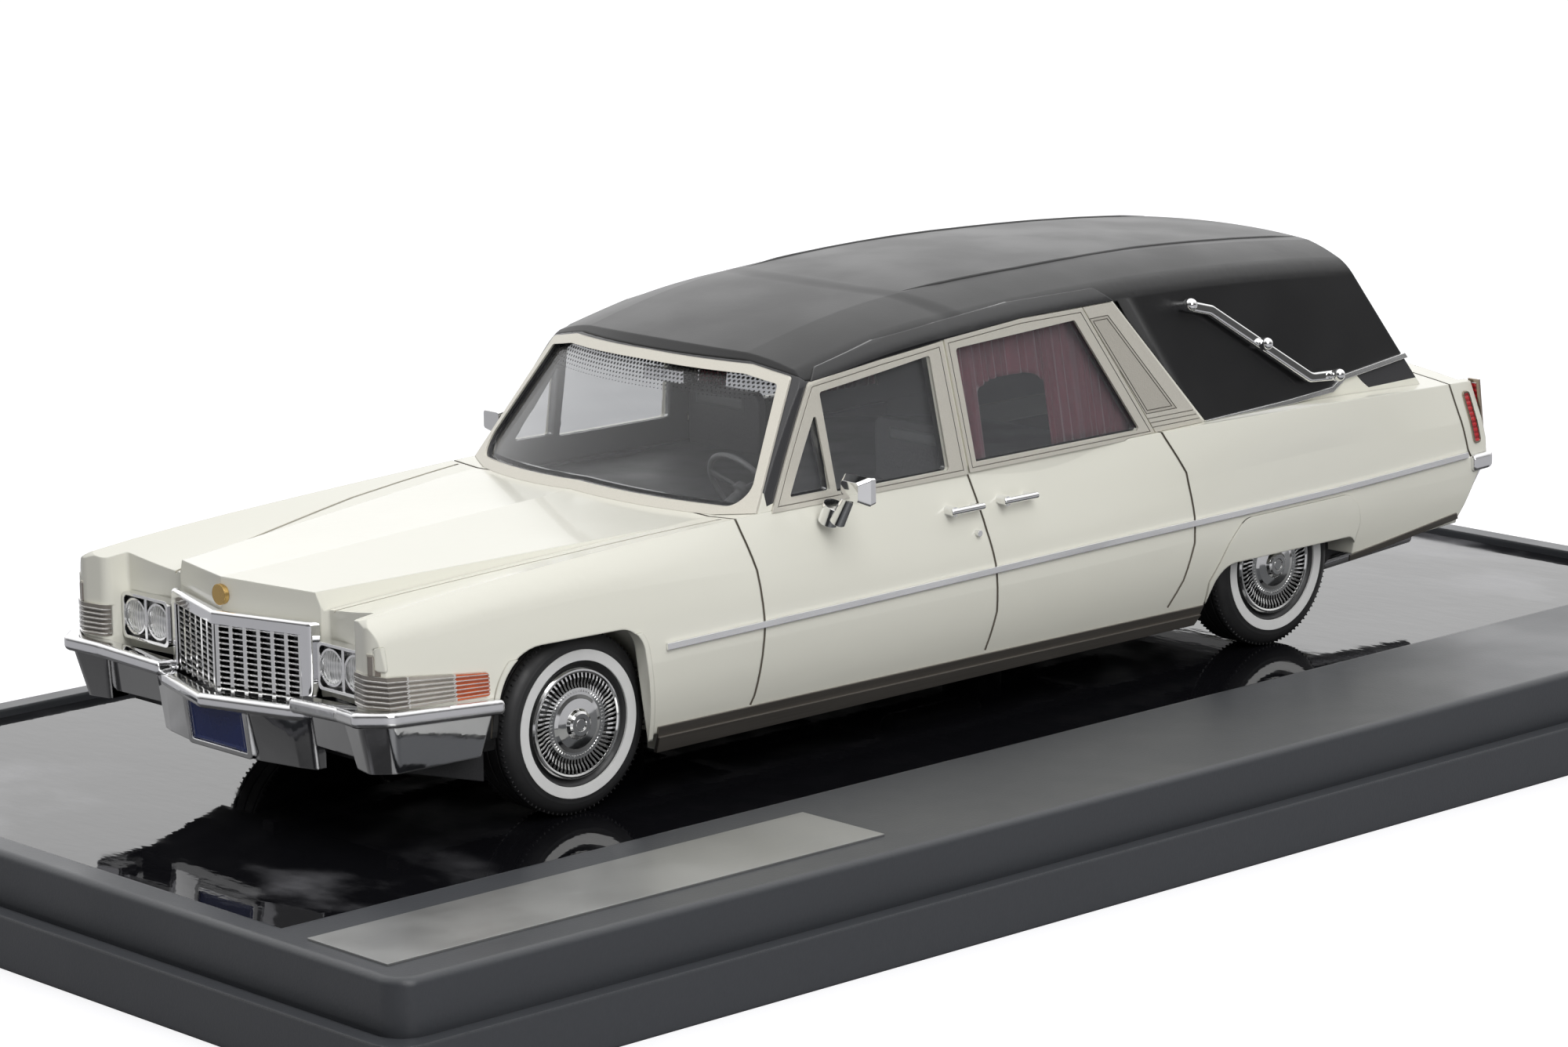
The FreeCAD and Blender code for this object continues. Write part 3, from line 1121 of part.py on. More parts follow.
def landau_bars():
    """S-shaped bar with a rounded front on three ball knobs, along the leaning roof side."""
    base_z = 24.0
    half = 0.54
    outline = [(y, z - base_z, 1.6 if 0 < index < 3 else 0.0)
               for index, (y, z) in enumerate(LANDAU_LINE)]
    strip = band([(y, z) for y, z, _ in outline], 2 * half)
    corners = [(y, z, 0.3 if index in (0, 3, 4, 7) else 1.5) for index, (y, z) in enumerate(strip)]
    face = rounded_face(corners, lambda y, z: V(0.5, along(y), z))
    bar = face.extrude(V(0.62, 0, 0))
    bar = soften(bar, 0.26, lambda e: e.BoundBox.XMin > 1.0 and e.BoundBox.XLength < 1e-6)
    middle = [0.5 * (a + b) for a, b in zip(LANDAU_LINE[1], LANDAU_LINE[2])]
    bars = [bar]
    for y, z in (LANDAU_LINE[0], middle, LANDAU_LINE[-1]):
        bars.append(Part.makeCylinder(0.45, 1.6, V(-0.3, along(y), z - base_z), V(1, 0, 0)))
        bars.append(Part.makeCylinder(0.62, 0.3, V(1.1, along(y), z - base_z), V(1, 0, 0)))
        bars.append(Part.makeSphere(0.66, V(1.6, along(y), z - base_z)))
    bar = joined(bars)
    bar.rotate(V(0, 0, 0), V(0, 1, 0), -SIDE_LEAN)
    bar.translate(V(across(20.57), 0, base_z))
    return both(bar.cut(CABIN))


# Rear face of the fender ends in side view, foot to head: (y, z)
FIN_FACE = [(123.0, 16.15), (122.05, 23.6)]


def fin_end(ahead, behind, z0, z1, x0, x1):
    """Plate along the leaning end of a fender, between two offsets from its face."""
    (foot_y, foot_z), (head_y, head_z) = FIN_FACE
    slope = (head_y - foot_y) / (head_z - foot_z)
    low, high = foot_y + slope * (z0 - foot_z), foot_y + slope * (z1 - foot_z)
    return side_prism([(low - ahead, z0), (high - ahead, z1), (high + behind, z1),
                       (low + behind, z0)], across(x0), across(x1))


SIDE_LENS = [(121.0, 17.1, 0.2), (120.45, 22.1, 0.2), (121.15, 22.1, 0.2), (121.75, 17.1, 0.2)]


def tail_lamp_bezels():
    """Bright frame round the lens in each fender end, and one round its side lens."""
    rear = fin_end(-FIT, 0.3, 16.3, 23.4, 20.95, 22.4).cut(fin_end(1.0, 1.0, 16.8, 23.0, 21.3, 22.05))
    face = rounded_face(SIDE_LENS, lambda y, z: V(across(21.0), along(y), z))
    ring = face.makeOffset2D(0.16).cut(face).extrude(V(WIDE, 0, 0))
    side = body_loft(0.16).cut(body_loft(-0.3)).common(ring)
    return both(Part.makeCompound([rear, side]))


def tail_lamp_lenses():
    rear = fin_end(-FIT, 0.2, 16.8 + FIT, 23.0 - FIT, 21.3 + FIT, 22.05 - FIT)
    side = body_loft(0.08).cut(body_loft(-0.35)).common(rounded_side(SIDE_LENS, across(21.0), WIDE))
    return both(Part.makeCompound([rear, side]))


# ---- Plinth -----------------------------------------------------------------------------
PLINTH_LENGTH = PLINTH_FRONT + WHEELBASE + PLINTH_REAR
SHEET_Z = FLANGE_HEIGHT + TIER_HEIGHT - SHEET_DROP
CAR_Y = PLINTH_FRONT - PLINTH_LENGTH / 2.0
FLANGE_WIDTH = PLINTH_WIDTH + 2 * LEDGE
FLANGE_LENGTH = PLINTH_LENGTH + 2 * LEDGE


def block(width, length, z0, z1, radius):
    """Plinth tier with rounded upright corners, centred on the origin."""
    half_w, half_l = width / 2.0, length / 2.0
    face = rounded_face([(-half_w, -half_l, radius), (half_w, -half_l, radius),
                         (half_w, half_l, radius), (-half_w, half_l, radius)],
                        lambda x, y: V(x, y, z0))
    return face.extrude(V(0, 0, z1 - z0))


def sheet_box(clearance, z0, z1):
    """The recess for the sheet; the wide rim is on the car's left."""
    half_w, half_l = PLINTH_WIDTH / 2.0, PLINTH_LENGTH / 2.0
    return box(-half_w + RIM_FAR + clearance, half_w - RIM_NEAR - clearance,
               -half_l + RIM_FAR + clearance, half_l - RIM_FAR - clearance, z0, z1)


def screw_spots():
    return [(CAR_OFFSET_X, CAR_Y + along(y)) for y in POSTS_Y]


def plinth():
    flange = block(FLANGE_WIDTH, FLANGE_LENGTH, 0.0, FLANGE_HEIGHT, 3.0)
    tier = block(PLINTH_WIDTH, PLINTH_LENGTH, FLANGE_HEIGHT - 0.1, FLANGE_HEIGHT + TIER_HEIGHT, 2.4)
    solid = flange.fuse(tier).removeSplitter()
    top_z = FLANGE_HEIGHT + TIER_HEIGHT
    solid = soften(solid, 0.7, lambda e: abs(e.BoundBox.ZMin - top_z) < 1e-4)
    solid = solid.cut(sheet_box(0.0, SHEET_Z - SHEET_THICKNESS, top_z + 1))
    hollow_top = SHEET_Z - SHEET_THICKNESS - PLINTH_DECK
    groove = block(PLINTH_WIDTH + 1.0, PLINTH_LENGTH + 1.0, FLANGE_HEIGHT - 0.5,
                   FLANGE_HEIGHT + 0.2, 2.9)
    groove = groove.cut(block(PLINTH_WIDTH, PLINTH_LENGTH, 0.0, FLANGE_HEIGHT + 1.0, 2.4))
    solid = solid.cut(groove)
    hollow = block(PLINTH_WIDTH - 2 * PLINTH_WALL, PLINTH_LENGTH - 2 * PLINTH_WALL, -1.0,
                   hollow_top, 1.5)
    solid = solid.cut(hollow)
    for x, y in screw_spots():
        boss = Part.makeCylinder(5.0, hollow_top + 0.2 - 1.2, V(x, y, 1.2))
        solid = solid.fuse(boss)
    for x, y in screw_spots():
        solid = solid.cut(Part.makeCylinder(SCREW_RADIUS, 12.0, V(x, y, 0.0)))
        solid = solid.cut(Part.makeCylinder(3.0, 2.6, V(x, y, 0.0)))
    return solid


def plinth_sheet():
    sheet = sheet_box(FIT, SHEET_Z - SHEET_THICKNESS, SHEET_Z)
    for x, y in screw_spots():
        sheet = sheet.cut(Part.makeCylinder(SCREW_RADIUS, 2.0, V(x, y, SHEET_Z - 1.0)))
    return sheet


def plinth_nameplate():
    width, length, thickness = NAMEPLATE
    x = PLINTH_WIDTH / 2.0 - RIM_NEAR / 2.0
    y = -PLINTH_LENGTH / 2.0 + 2.3
    z = FLANGE_HEIGHT + TIER_HEIGHT
    return box(x - width / 2.0, x + width / 2.0, y, y + length, z, z + thickness)


def mounting_screws():
    screws = []
    for x, y in screw_spots():
        shank = Part.makeCylinder(SCREW_RADIUS, SHEET_Z + 4.4 - 1.0, V(x, y, 1.0))
        head = Part.makeCylinder(2.7, 1.4, V(x, y, 1.2))
        screws.append(joined([shank, head]))
    return Part.makeCompound(screws)


# Pockets: the host is cut to the shape of the guests that sit in it.
SEATS = {
    "front_bumper": ["grille_surround", "turn_lamps_clear", "turn_lamps_amber",
                     "headlamp_bezels", "licence_plate"],
    "body_shell": ["front_bumper", "rear_bumper", "turn_lamps_clear", "turn_lamps_amber",
                   "headlamp_bezels", "headlamp_lenses", "side_markers", "grille_surround",
                   "tail_lamp_bezels", "tail_lamp_lenses"],
    "base_plate": ["tailpipe"],
}


# ---- The whole model --------------------------------------------------------------------
def car_pieces():
    shell = body_shell()
    clear_lamps, amber_lamps = turn_lamps()
    pieces = {
        "body_shell": shell,
        "roof_shell": roof_shell(),
        "base_plate": base_plate(shell),
        "tailpipe": tailpipe(),
        "interior_tub": interior_tub(),
        "dashboard": dashboard(),
        "steering_wheel": steering_wheel(),
        "front_seat": front_seat(),
        "partition": partition(),
        "casket_deck": casket_deck(),
        "curtains": curtains(),
        "windshield_glass": front_glass(),
        "windshield_frame": windshield_frame(),
        "front_door_glass": side_glass(VENT_WINDOW, FRONT_WINDOW),
        "rear_door_glass": side_glass(REAR_WINDOW),
        "rear_window_glass": rear_glass(),
        "rear_window_frame": rear_window_frame(),
        "front_door_frames": side_frame(FRONT_FRAME, (VENT_WINDOW, FRONT_WINDOW),
                                        [engraved_ring(FRONT_FRAME, 0.42)]),
        "rear_door_frames": side_frame(REAR_FRAME, (REAR_WINDOW,),
                                       [engraved_ring(REAR_FRAME, 0.38)]),
        "quarter_panels": side_frame(QUARTER_PANEL, lines=quarter_lines()),
        "drip_bands": side_frame(DRIP_BAND),
        "front_bumper": front_bumper(),
        "rear_bumper": rear_bumper(),
        "grille_surround": grille_surround(),
        "grille": grille(),
        "grille_backing": grille_backing(),
        "headlamp_bezels": headlamp_bezels(),
        "headlamp_lenses": headlamp_lenses(),
        "turn_lamps_clear": clear_lamps,
        "turn_lamps_amber": amber_lamps,
        "side_markers": side_markers(),
        "hood_badge": hood_badge(),
        "licence_plate": licence_plate(),
        "inside_mirror": inside_mirror(),
        "belt_trims": belt_trims(),
        "side_trims": side_trims(),
        "rocker_trims": rocker_trims(),
        "door_handles": door_handles(),
        "door_mirrors": door_mirrors(),
        "landau_bars": landau_bars(),
        "tail_lamp_bezels": tail_lamp_bezels(),
        "tail_lamp_lenses": tail_lamp_lenses(),
    }
    pieces["body_shell"] = pieces["body_shell"].cut(grille_pocket())
    for host, guests in SEATS.items():
        pockets = Part.makeCompound([pieces[guest] for guest in guests])
        pieces[host] = largest(pieces[host].cut(pockets))
    pieces.update(wheelsets())
    return pieces


def main():
    place = V(CAR_OFFSET_X, CAR_Y, SHEET_Z)
    lift = V(0, 0, TYRE_LIFT)
    whole = {"plinth": plinth(), "plinth_sheet": plinth_sheet(),
             "plinth_nameplate": plinth_nameplate(), "mounting_screws": mounting_screws()}
    for name, piece in car_pieces().items():
        piece.translate(place + lift)
        whole[name] = piece
    for name, piece in whole.items():
        if not piece.isValid():
            print("not valid:", name)
        print(f"{name:20s} solids {len(piece.Solids)}  volume {piece.Volume:9.2f}")
        piece.exportStep("parts/" + name + ".step")


main()
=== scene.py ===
import math

import bmesh
import bpy
from mathutils import Matrix, Vector
from mathutils.bvhtree import BVHTree


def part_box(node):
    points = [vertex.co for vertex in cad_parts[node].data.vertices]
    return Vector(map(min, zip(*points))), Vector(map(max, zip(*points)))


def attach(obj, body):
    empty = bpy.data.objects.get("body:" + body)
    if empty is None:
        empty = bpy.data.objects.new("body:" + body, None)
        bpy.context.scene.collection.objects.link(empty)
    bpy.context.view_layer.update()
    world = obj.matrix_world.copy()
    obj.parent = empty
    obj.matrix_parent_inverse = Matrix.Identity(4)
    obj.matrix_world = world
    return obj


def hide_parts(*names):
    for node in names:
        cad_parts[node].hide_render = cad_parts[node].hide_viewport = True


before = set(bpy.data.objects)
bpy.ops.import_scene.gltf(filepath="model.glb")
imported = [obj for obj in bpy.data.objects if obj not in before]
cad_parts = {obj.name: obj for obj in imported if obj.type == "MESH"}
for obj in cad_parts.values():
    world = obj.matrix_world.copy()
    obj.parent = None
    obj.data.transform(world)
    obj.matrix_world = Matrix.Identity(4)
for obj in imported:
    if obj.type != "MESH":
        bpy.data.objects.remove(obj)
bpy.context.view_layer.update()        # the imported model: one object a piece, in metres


# ---- Studio --------------------------------------------------------
# White paper in a white tent that glows overhead and behind the model and is dim low down
# in front of it. A large soft lamp hangs above, and a stronger one stands at the near side.
MM = 0.001
CLOUD = (0.3, 0.7)       # the middle of a noise, where nearly all of it lies
studio = bpy.context.scene
studio.view_settings.view_transform = "Standard"


class Wire:
    """A socket that takes part in plain arithmetic: each operator adds its Math node."""

    def __init__(self, nodes, socket):
        self.nodes, self.socket = nodes, socket

    def _math(self, operation, *values):
        return self.nodes.node("ShaderNodeMath", {"operation": operation},
                               dict(enumerate(values)))

    def __add__(self, other): return self._math("ADD", self, other)
    def __radd__(self, other): return self._math("ADD", other, self)
    def __sub__(self, other): return self._math("SUBTRACT", self, other)
    def __rsub__(self, other): return self._math("SUBTRACT", other, self)
    def __mul__(self, other): return self._math("MULTIPLY", self, other)
    def __rmul__(self, other): return self._math("MULTIPLY", other, self)
    def __truediv__(self, other): return self._math("DIVIDE", self, other)
    def __rtruediv__(self, other): return self._math("DIVIDE", other, self)
    def __gt__(self, other): return self._math("GREATER_THAN", self, other)
    def __lt__(self, other): return self._math("LESS_THAN", self, other)
    def __mod__(self, other): return self._math("FLOORED_MODULO", self, other)
    def __abs__(self): return self._math("ABSOLUTE", self)
    def root(self): return self._math("SQRT", self)
    def sine(self): return self._math("SINE", self)
    def least(self, other): return self._math("MINIMUM", self, other)
    def most(self, other): return self._math("MAXIMUM", self, other)

    def between(self, low, high):
        """1 where this value lies between the two, 0 elsewhere."""
        return (self > low) * (self < high)

    def off_middle(self):
        """Distance from the middle of each whole step: 0.5 at its ends, 0 halfway."""
        return abs(self % 1.0 - 0.5)

    def waves(self, pitch, shift=0.0):
        """Smooth 0 to 1 waves with that pitch, moved along by a shift in radians."""
        return (self * (2 * math.pi / pitch) + shift).sine() * 0.5 + 0.5

    def ramp(self, low, high, at_low=0.0, at_high=1.0):
        """Eased step from at_low to at_high while this value goes from low to high."""
        return self.nodes.node("ShaderNodeMapRange", {"interpolation_type": "SMOOTHSTEP"},
                               {"Value": self, "From Min": low, "From Max": high,
                                "To Min": at_low, "To Max": at_high})


class Nodes:
    """A node tree being filled, one node at a time."""

    def __init__(self, tree):
        self.tree = tree

    def join(self, value, socket):
        """Links a wire to the socket, or sets the socket to a plain value."""
        if isinstance(value, Wire):
            self.tree.links.new(value.socket, socket)
        else:
            socket.default_value = value

    def node(self, kind, settings, sockets, output=0):
        """Adds a node of that kind, and gives the wire from one of its outputs."""
        made = self.tree.nodes.new(kind)
        for key, value in settings.items():
            setattr(made, key, value)
        for key, value in sockets.items():
            self.join(value, made.inputs[key])
        return Wire(self, made.outputs[output])

    def ray_is(self, kind):
        """1 for rays of that kind."""
        return self.node("ShaderNodeLightPath", {}, {}, f"Is {kind} Ray")


class Paint(Nodes):
    """One finish being mixed: a Principled surface and the nodes that vary it."""

    def __init__(self, name, color, roughness, **surface):
        self.material = bpy.data.materials.new(name)
        self.material.use_nodes = True
        super().__init__(self.material.node_tree)
        self.shader = self.tree.nodes["Principled BSDF"]
        self.surface = Wire(self, self.shader.outputs[0])
        self.set("Base Color", (*color, 1.0))
        self.set("Roughness", roughness)
        for socket, value in surface.items():
            self.set(socket.replace("_", " ").title().replace("Ior", "IOR"), value)

    def set(self, socket, value):
        self.join(value, self.shader.inputs[socket])

    def coat(self, share, coating):
        """Lays another surface over this one; share says how much of it shows."""
        self.surface = self.node("ShaderNodeMixShader", {},
                                 {0: share, 1: self.surface, 2: coating})
        self.join(self.surface, self.tree.nodes["Material Output"].inputs["Surface"])

    def place(self):
        """Place on the piece, in metres in the model's own frame."""
        return self.node("ShaderNodeTexCoord", {}, {}, "Object")

    def axes(self, origin=(0, 0, 0)):
        """The three coordinates in millimetres from an origin given in metres."""
        moved = self.node("ShaderNodeVectorMath", {"operation": "SUBTRACT"},
                          {0: self.place(), 1: origin})
        scaled = self.node("ShaderNodeVectorMath", {"operation": "SCALE"},
                           {0: moved, "Scale": 1 / MM})
        return [self.node("ShaderNodeSeparateXYZ", {}, {0: scaled}, axis) for axis in "XYZ"]

    def noise(self, grain_mm, stretch=(1, 1, 1), detail=3.0):
        """Cloudy 0 to 1 pattern with that grain, drawn out along the axes by stretch."""
        scaled = self.node("ShaderNodeVectorMath", {"operation": "DIVIDE"},
                           {0: self.place(), 1: [grain_mm * MM * s for s in stretch]})
        return self.node("ShaderNodeTexNoise", {}, {"Vector": scaled, "Scale": 1.0,
                                                    "Detail": detail})

    def blend(self, share, first, second):
        """The first colour where share is 0, the second where it is 1."""
        first, second = (color if isinstance(color, Wire) else (*color, 1.0)
                         for color in (first, second))
        return self.node("ShaderNodeMix", {"data_type": "RGBA"},
                         {0: share, 6: first, 7: second}, 2)

    def tones(self, share, first, second):
        """Base colour going from the first tone at share 0 to the second at 1."""
        self.set("Base Color", self.blend(share, first, second))

    def gloss(self, grain_mm, low, high):
        """Roughness that drifts between two values, in clouds of that grain."""
        self.set("Roughness", self.noise(grain_mm).ramp(*CLOUD, low, high))

    def relief(self, height, depth_mm, rounding_mm=0.0):
        """Surface relief of a 0 to 1 height, over edges softened by the rounding."""
        sockets = {"Strength": 1.0, "Distance": depth_mm * MM, "Height": height}
        if rounding_mm:
            sockets["Normal"] = self.node("ShaderNodeBevel", {"samples": 4},
                                          {"Radius": rounding_mm * MM})
        self.set("Normal", self.node("ShaderNodeBump", {}, sockets))


PAPER_SIZE, PAPER_DROP, PAPER_GLOW = 6.0, 0.02 * MM, 0.68     # it lies just clear of the foot
bpy.ops.mesh.primitive_plane_add(size=PAPER_SIZE, location=(0, 0, -PAPER_DROP))
floor = bpy.context.object
floor.name = "studio_floor"
paper = Paint("studio_paper", (0.42, 0.42, 0.44), 0.55)
paper.gloss(9.0, 0.5, 0.6)
paper.set("Emission Color", (1.0, 1.0, 1.0, 1.0))
paper.set("Emission Strength", paper.ray_is("Camera") * PAPER_GLOW)
floor.data.materials.append(paper.material)

BACKDROP = (-0.738, 0.674, 0.0)                      # level, towards the wall behind the model
BACKDROP_LIFT, MATT_LOSS = 0.55, 0.50
tent = bpy.data.worlds.new("white_tent")
studio.world = tent
tent.use_nodes = True
background = tent.node_tree.nodes["Background"]
background.inputs["Color"].default_value = (1, 1, 1, 1)
sky = Nodes(tent.node_tree)
toward = sky.node("ShaderNodeTexCoord", {}, {}, "Generated")
height = sky.node("ShaderNodeSeparateXYZ", {}, {0: toward}, "Z")
behind = sky.node("ShaderNodeVectorMath", {"operation": "DOT_PRODUCT"},
                  {0: toward, 1: BACKDROP}, "Value")
glow = (behind * BACKDROP_LIFT + height).ramp(0.02, 0.75, 0.08, 1.33)
lit = glow * (1.0 - sky.ray_is("Diffuse") * MATT_LOSS)        # matt surfaces get less of it
plain = sky.ray_is("Camera").most(sky.ray_is("Transmission"))
sky.join(sky.node("ShaderNodeMix", {}, {0: plain, 2: lit, 3: 1.0}),
         background.inputs["Strength"])


def softbox(name, place, target, size, watts):
    """Rectangular lamp that faces its target."""
    lamp = bpy.data.lights.new(name, "AREA")
    lamp.shape = "RECTANGLE"
    lamp.size, lamp.size_y = size
    lamp.energy = watts
    box = bpy.data.objects.new(name, lamp)
    studio.collection.objects.link(box)
    box.location = place
    box.rotation_euler = (Vector(target) - Vector(place)).to_track_quat("-Z", "Y").to_euler()


softbox("top_light", place=(-0.10, 0.15, 0.75), target=(0, 0, 0), size=(0.8, 0.9), watts=0.4)
softbox("side_light", place=(0.56, -0.18, 0.48), target=(0, 0, 0.02), size=(0.4, 0.6),
        watts=3.1)

YAW, PITCH, ROLL = math.radians(47.5942), math.radians(11.8175), math.radians(-0.89)
VIEWPOINT = (0.36062, -0.33698, 0.12800)
FOCAL_LENGTH, FILM_WIDTH, NEAREST = 118.07, 36.0, 0.01
forward = Vector((-math.sin(YAW) * math.cos(PITCH), math.cos(YAW) * math.cos(PITCH),
                  -math.sin(PITCH)))
right = forward.cross(Vector((0, 0, 1))).normalized()
up = right.cross(forward)
tilted_right = right * math.cos(ROLL) + up * math.sin(ROLL)
tilted_up = up * math.cos(ROLL) - right * math.sin(ROLL)
lens = bpy.data.cameras.new("camera")
lens.lens, lens.sensor_width, lens.clip_start = FOCAL_LENGTH, FILM_WIDTH, NEAREST
camera = bpy.data.objects.new("camera", lens)
studio.collection.objects.link(camera)
camera.matrix_world = Matrix((tilted_right, tilted_up, -forward)).transposed().to_4x4()
camera.location = VIEWPOINT
studio.camera = camera


# ---- Display plinth ------------------------------------------------
# Two-tier hollow moulding in slate-grey plastic with a satin, slightly grained skin.
# The broad rim beside the sheet carries the nameplate; the ledge takes a clear cover.
def finished(paint, *names):
    """Gives CAD pieces their finish."""
    for name in names:
        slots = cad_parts[name].data.materials
        slots.clear()
        slots.append(paint.material)


slate = Paint("plinth_slate", (0.044, 0.047, 0.053), 0.34)
slate.set("Roughness", slate.noise(14.0).ramp(0.25, 0.75, 0.29, 0.40))
slate.tones(slate.noise(0.5, detail=2.0), (0.040, 0.043, 0.049), (0.048, 0.051, 0.057))
slate.relief(slate.noise(0.22, detail=2.0), 0.012, rounding_mm=0.45)
finished(slate, "plinth")

# ---- Black sheet under the car -------------------------------------
# Polished black sheet. Towards its ends it is painted grey in clouds, a painted reflection of
# the bright backdrop. It lies a little uneven, so that what it mirrors breaks into fine ripples
# across the car.
SHEET_BLACK, REFLECTION_GREY = (0.004, 0.004, 0.005), (0.30, 0.30, 0.32)
REFLECTION_START, REFLECTION_FULL = 52.0, 96.0                 # distances from the sheet's middle
clouds = Paint("polished_sheet", SHEET_BLACK, 0.035)
toward_end = abs(clouds.axes()[1]).ramp(REFLECTION_START, REFLECTION_FULL)
reflection_wisps = clouds.noise(24.0, stretch=(1.0, 0.6, 1.0), detail=6.0).ramp(0.50, 0.72)
reflection_wisps = reflection_wisps * toward_end
# Painted reflection: grey wisps towards the ends, where the sheet mirrors the bright backdrop.
clouds.tones(reflection_wisps * 0.55, SHEET_BLACK, REFLECTION_GREY)
clouds.set("Roughness", clouds.noise(3.0, (3, 1, 1)).ramp(0.3, 0.8, 0.02, 0.06)
           + reflection_wisps * 0.25)
ripple = clouds.noise(1.6, stretch=(2.4, 1.0, 1.0), detail=2.0)
sag = clouds.noise(22.0, detail=1.0)
clouds.relief(ripple * 0.25 + sag, 0.05)
finished(clouds, "plinth_sheet")

# ---- Nameplate -----------------------------------------------------
# Thin satin metal label glued to the broad rim, left blank. It is brushed along its length
# and a little cloudy from handling.
label = Paint("blank_label", (0.40, 0.40, 0.40), 0.3, metallic=0.85)
brushed = label.noise(0.35, stretch=(1.0, 40.0, 1.0), detail=2.0)
label.set("Roughness", label.noise(9.0).ramp(*CLOUD, 0.28, 0.36) + brushed * 0.05)
label.tones(label.noise(12.0, detail=2.0), (0.38, 0.385, 0.38), (0.47, 0.47, 0.46))
label.relief(brushed, 0.006, rounding_mm=0.08)
finished(label, "plinth_nameplate")

# ---- Base plate ----------------------------------------------------
# Cast floor pan in matt black, with its rails, bearings and screw posts. The casting's
# fine grit shows in colour and relief.
pan = Paint("base_black", (0.022, 0.022, 0.024), 0.62)
grit = pan.noise(0.18, detail=2.0)
pan.gloss(5.0, 0.52, 0.72)
pan.tones(grit, (0.016, 0.016, 0.018), (0.034, 0.034, 0.036))
pan.relief(grit, 0.02, rounding_mm=0.2)
finished(pan, "base_plate")

# ---- Screws, axles and tailpipe ------------------------------------
# Turned steel: the two screws that hold the car to the plinth, the axles that run through
# the base plate, and the tailpipe. Fine lathe marks go round the axles.
LATHE_PITCH = 2 * math.pi / 46
steel = Paint("turned_steel", (0.52, 0.52, 0.54), 0.3, metallic=1.0)
lathe = steel.axes()[0].waves(LATHE_PITCH, shift=steel.noise(0.8) * 5.0)
steel.set("Roughness", lathe.ramp(0.0, 1.0, 0.2, 0.36))
steel.tones(steel.noise(2.5), (0.44, 0.44, 0.46), (0.58, 0.58, 0.59))
steel.relief(lathe, 0.004, rounding_mm=0.06)
finished(steel, "mounting_screws", "front_axle", "rear_axle", "tailpipe")


# ---- Cast body -----------------------------------------------------
# Resin casting in gloss ivory under a clear coat. Panel gaps are engraved and hold a grey-brown
# wash, with painted shade darkening them and every other narrow corner; the skin has the
# faintest orange peel. Inside it is painted dark grey, and below the front bumper near black as
# painted shade.
def crevice(paint, reach_mm, low, high):
    """Mask for painted shade: 1 deep in grooves and corners narrower than the reach, 0 on the
    open surface.
    """
    open_sky = paint.node("ShaderNodeAmbientOcclusion", {"samples": 8, "only_local": True},
                          {"Distance": reach_mm * MM}, "AO")
    return 1.0 - open_sky.ramp(low, high)


def middle_of(name):
    """Middle of a CAD piece's box, in metres."""
    low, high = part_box(name)
    return (low + high) / 2


# Car coordinates: millimetres to the left, to the rear and up, from a point on the road
# below the front axle's middle. Stations are distances to the rear, heights are above it.
TYRE_RADIUS = 8.4
ROAD = middle_of("front_axle") - Vector((0, 0, TYRE_RADIUS * MM))
CABIN_HEART = Vector((0, 70, 14))                    # a point every inner face looks at
CABIN_ENDS, CABIN_FLOOR = (21.5, 117.0), 14.0
WINDOW_ENDS, WINDOW_FOOT = (24.0, 116.0), 24.3
PANE_X, PANE_LEAN = 20.6, 6.0                        # side glass at a height of 22, 1 in 6
SCREEN_ENDS = (15.0, 31.0)
SCREEN_X, SCREEN_LEAN = 19.4, 0.3146                 # windshield opening's side, at its foot
SCREEN_FOOT, SCREEN_FALL = 24.87, 0.031              # its lower edge, falling to the sides
BUMPER_STATION, BUMPER_HEIGHT = -8.4, 12.55
HOOD_HEIGHT, HOOD_END = 19.8, 19.0

ivory = Paint("ivory_paint", (0.845, 0.835, 0.735), 0.2, coat_weight=0.3,
              coat_roughness=0.03, specular_ior_level=0.35)
# Grey-brown wash in the engraved gaps, with painted shade in them and in every narrow corner.
gap_wash_and_shade = crevice(ivory, 0.5, 0.42, 0.72)
away = ivory.node("ShaderNodeVectorMath", {"operation": "SUBTRACT"},
                  {0: ivory.place(), 1: ROAD + CABIN_HEART * MM})
outward = ivory.node("ShaderNodeNewGeometry", {}, {}, "True Normal")
facing = ivory.node("ShaderNodeVectorMath", {"operation": "DOT_PRODUCT"},
                    {0: away, 1: outward}, "Value")
x, y, z = ivory.axes(ROAD)
lining = (facing < 0.0) * y.between(*CABIN_ENDS) * (z > CABIN_FLOOR)
pane_x = PANE_X - (z - 22.0) / PANE_LEAN
reveal = (abs(x) < pane_x) * y.between(*WINDOW_ENDS) * (z > WINDOW_FOOT)
screen_x = SCREEN_X - (z - WINDOW_FOOT) * SCREEN_LEAN
screen_z = SCREEN_FOOT - abs(x) * SCREEN_FALL
screen = (abs(x) < screen_x) * (z > screen_z) * y.between(*SCREEN_ENDS)
# Painted shade: near black behind and below the front bumper's blade, where its shadow falls.
painted_shade_under_bumper = (y < BUMPER_STATION) * (z < BUMPER_HEIGHT)   # dark behind and below the bumper
hood_gap = (z > HOOD_HEIGHT) * (y < HOOD_END)        # finer and fainter than the others
skin = ivory.blend(ivory.noise(30.0, detail=1.0), (0.83, 0.82, 0.72), (0.86, 0.85, 0.76))
painted = ivory.blend(lining.most(reveal).most(screen), skin, (0.05, 0.05, 0.053))
painted = ivory.blend(painted_shade_under_bumper, painted, (0.012, 0.012, 0.012))
wash_and_shade = ivory.blend(hood_gap, (0.20, 0.175, 0.14), (0.46, 0.43, 0.36))
ivory.tones(gap_wash_and_shade, painted, wash_and_shade)
ivory.set("Roughness", ivory.noise(9.0).ramp(*CLOUD, 0.14, 0.22) + gap_wash_and_shade * 0.3)
ivory.relief(ivory.noise(0.7, detail=1.0), 0.0035, rounding_mm=0.22)
finished(ivory, "body_shell", "side_markers")
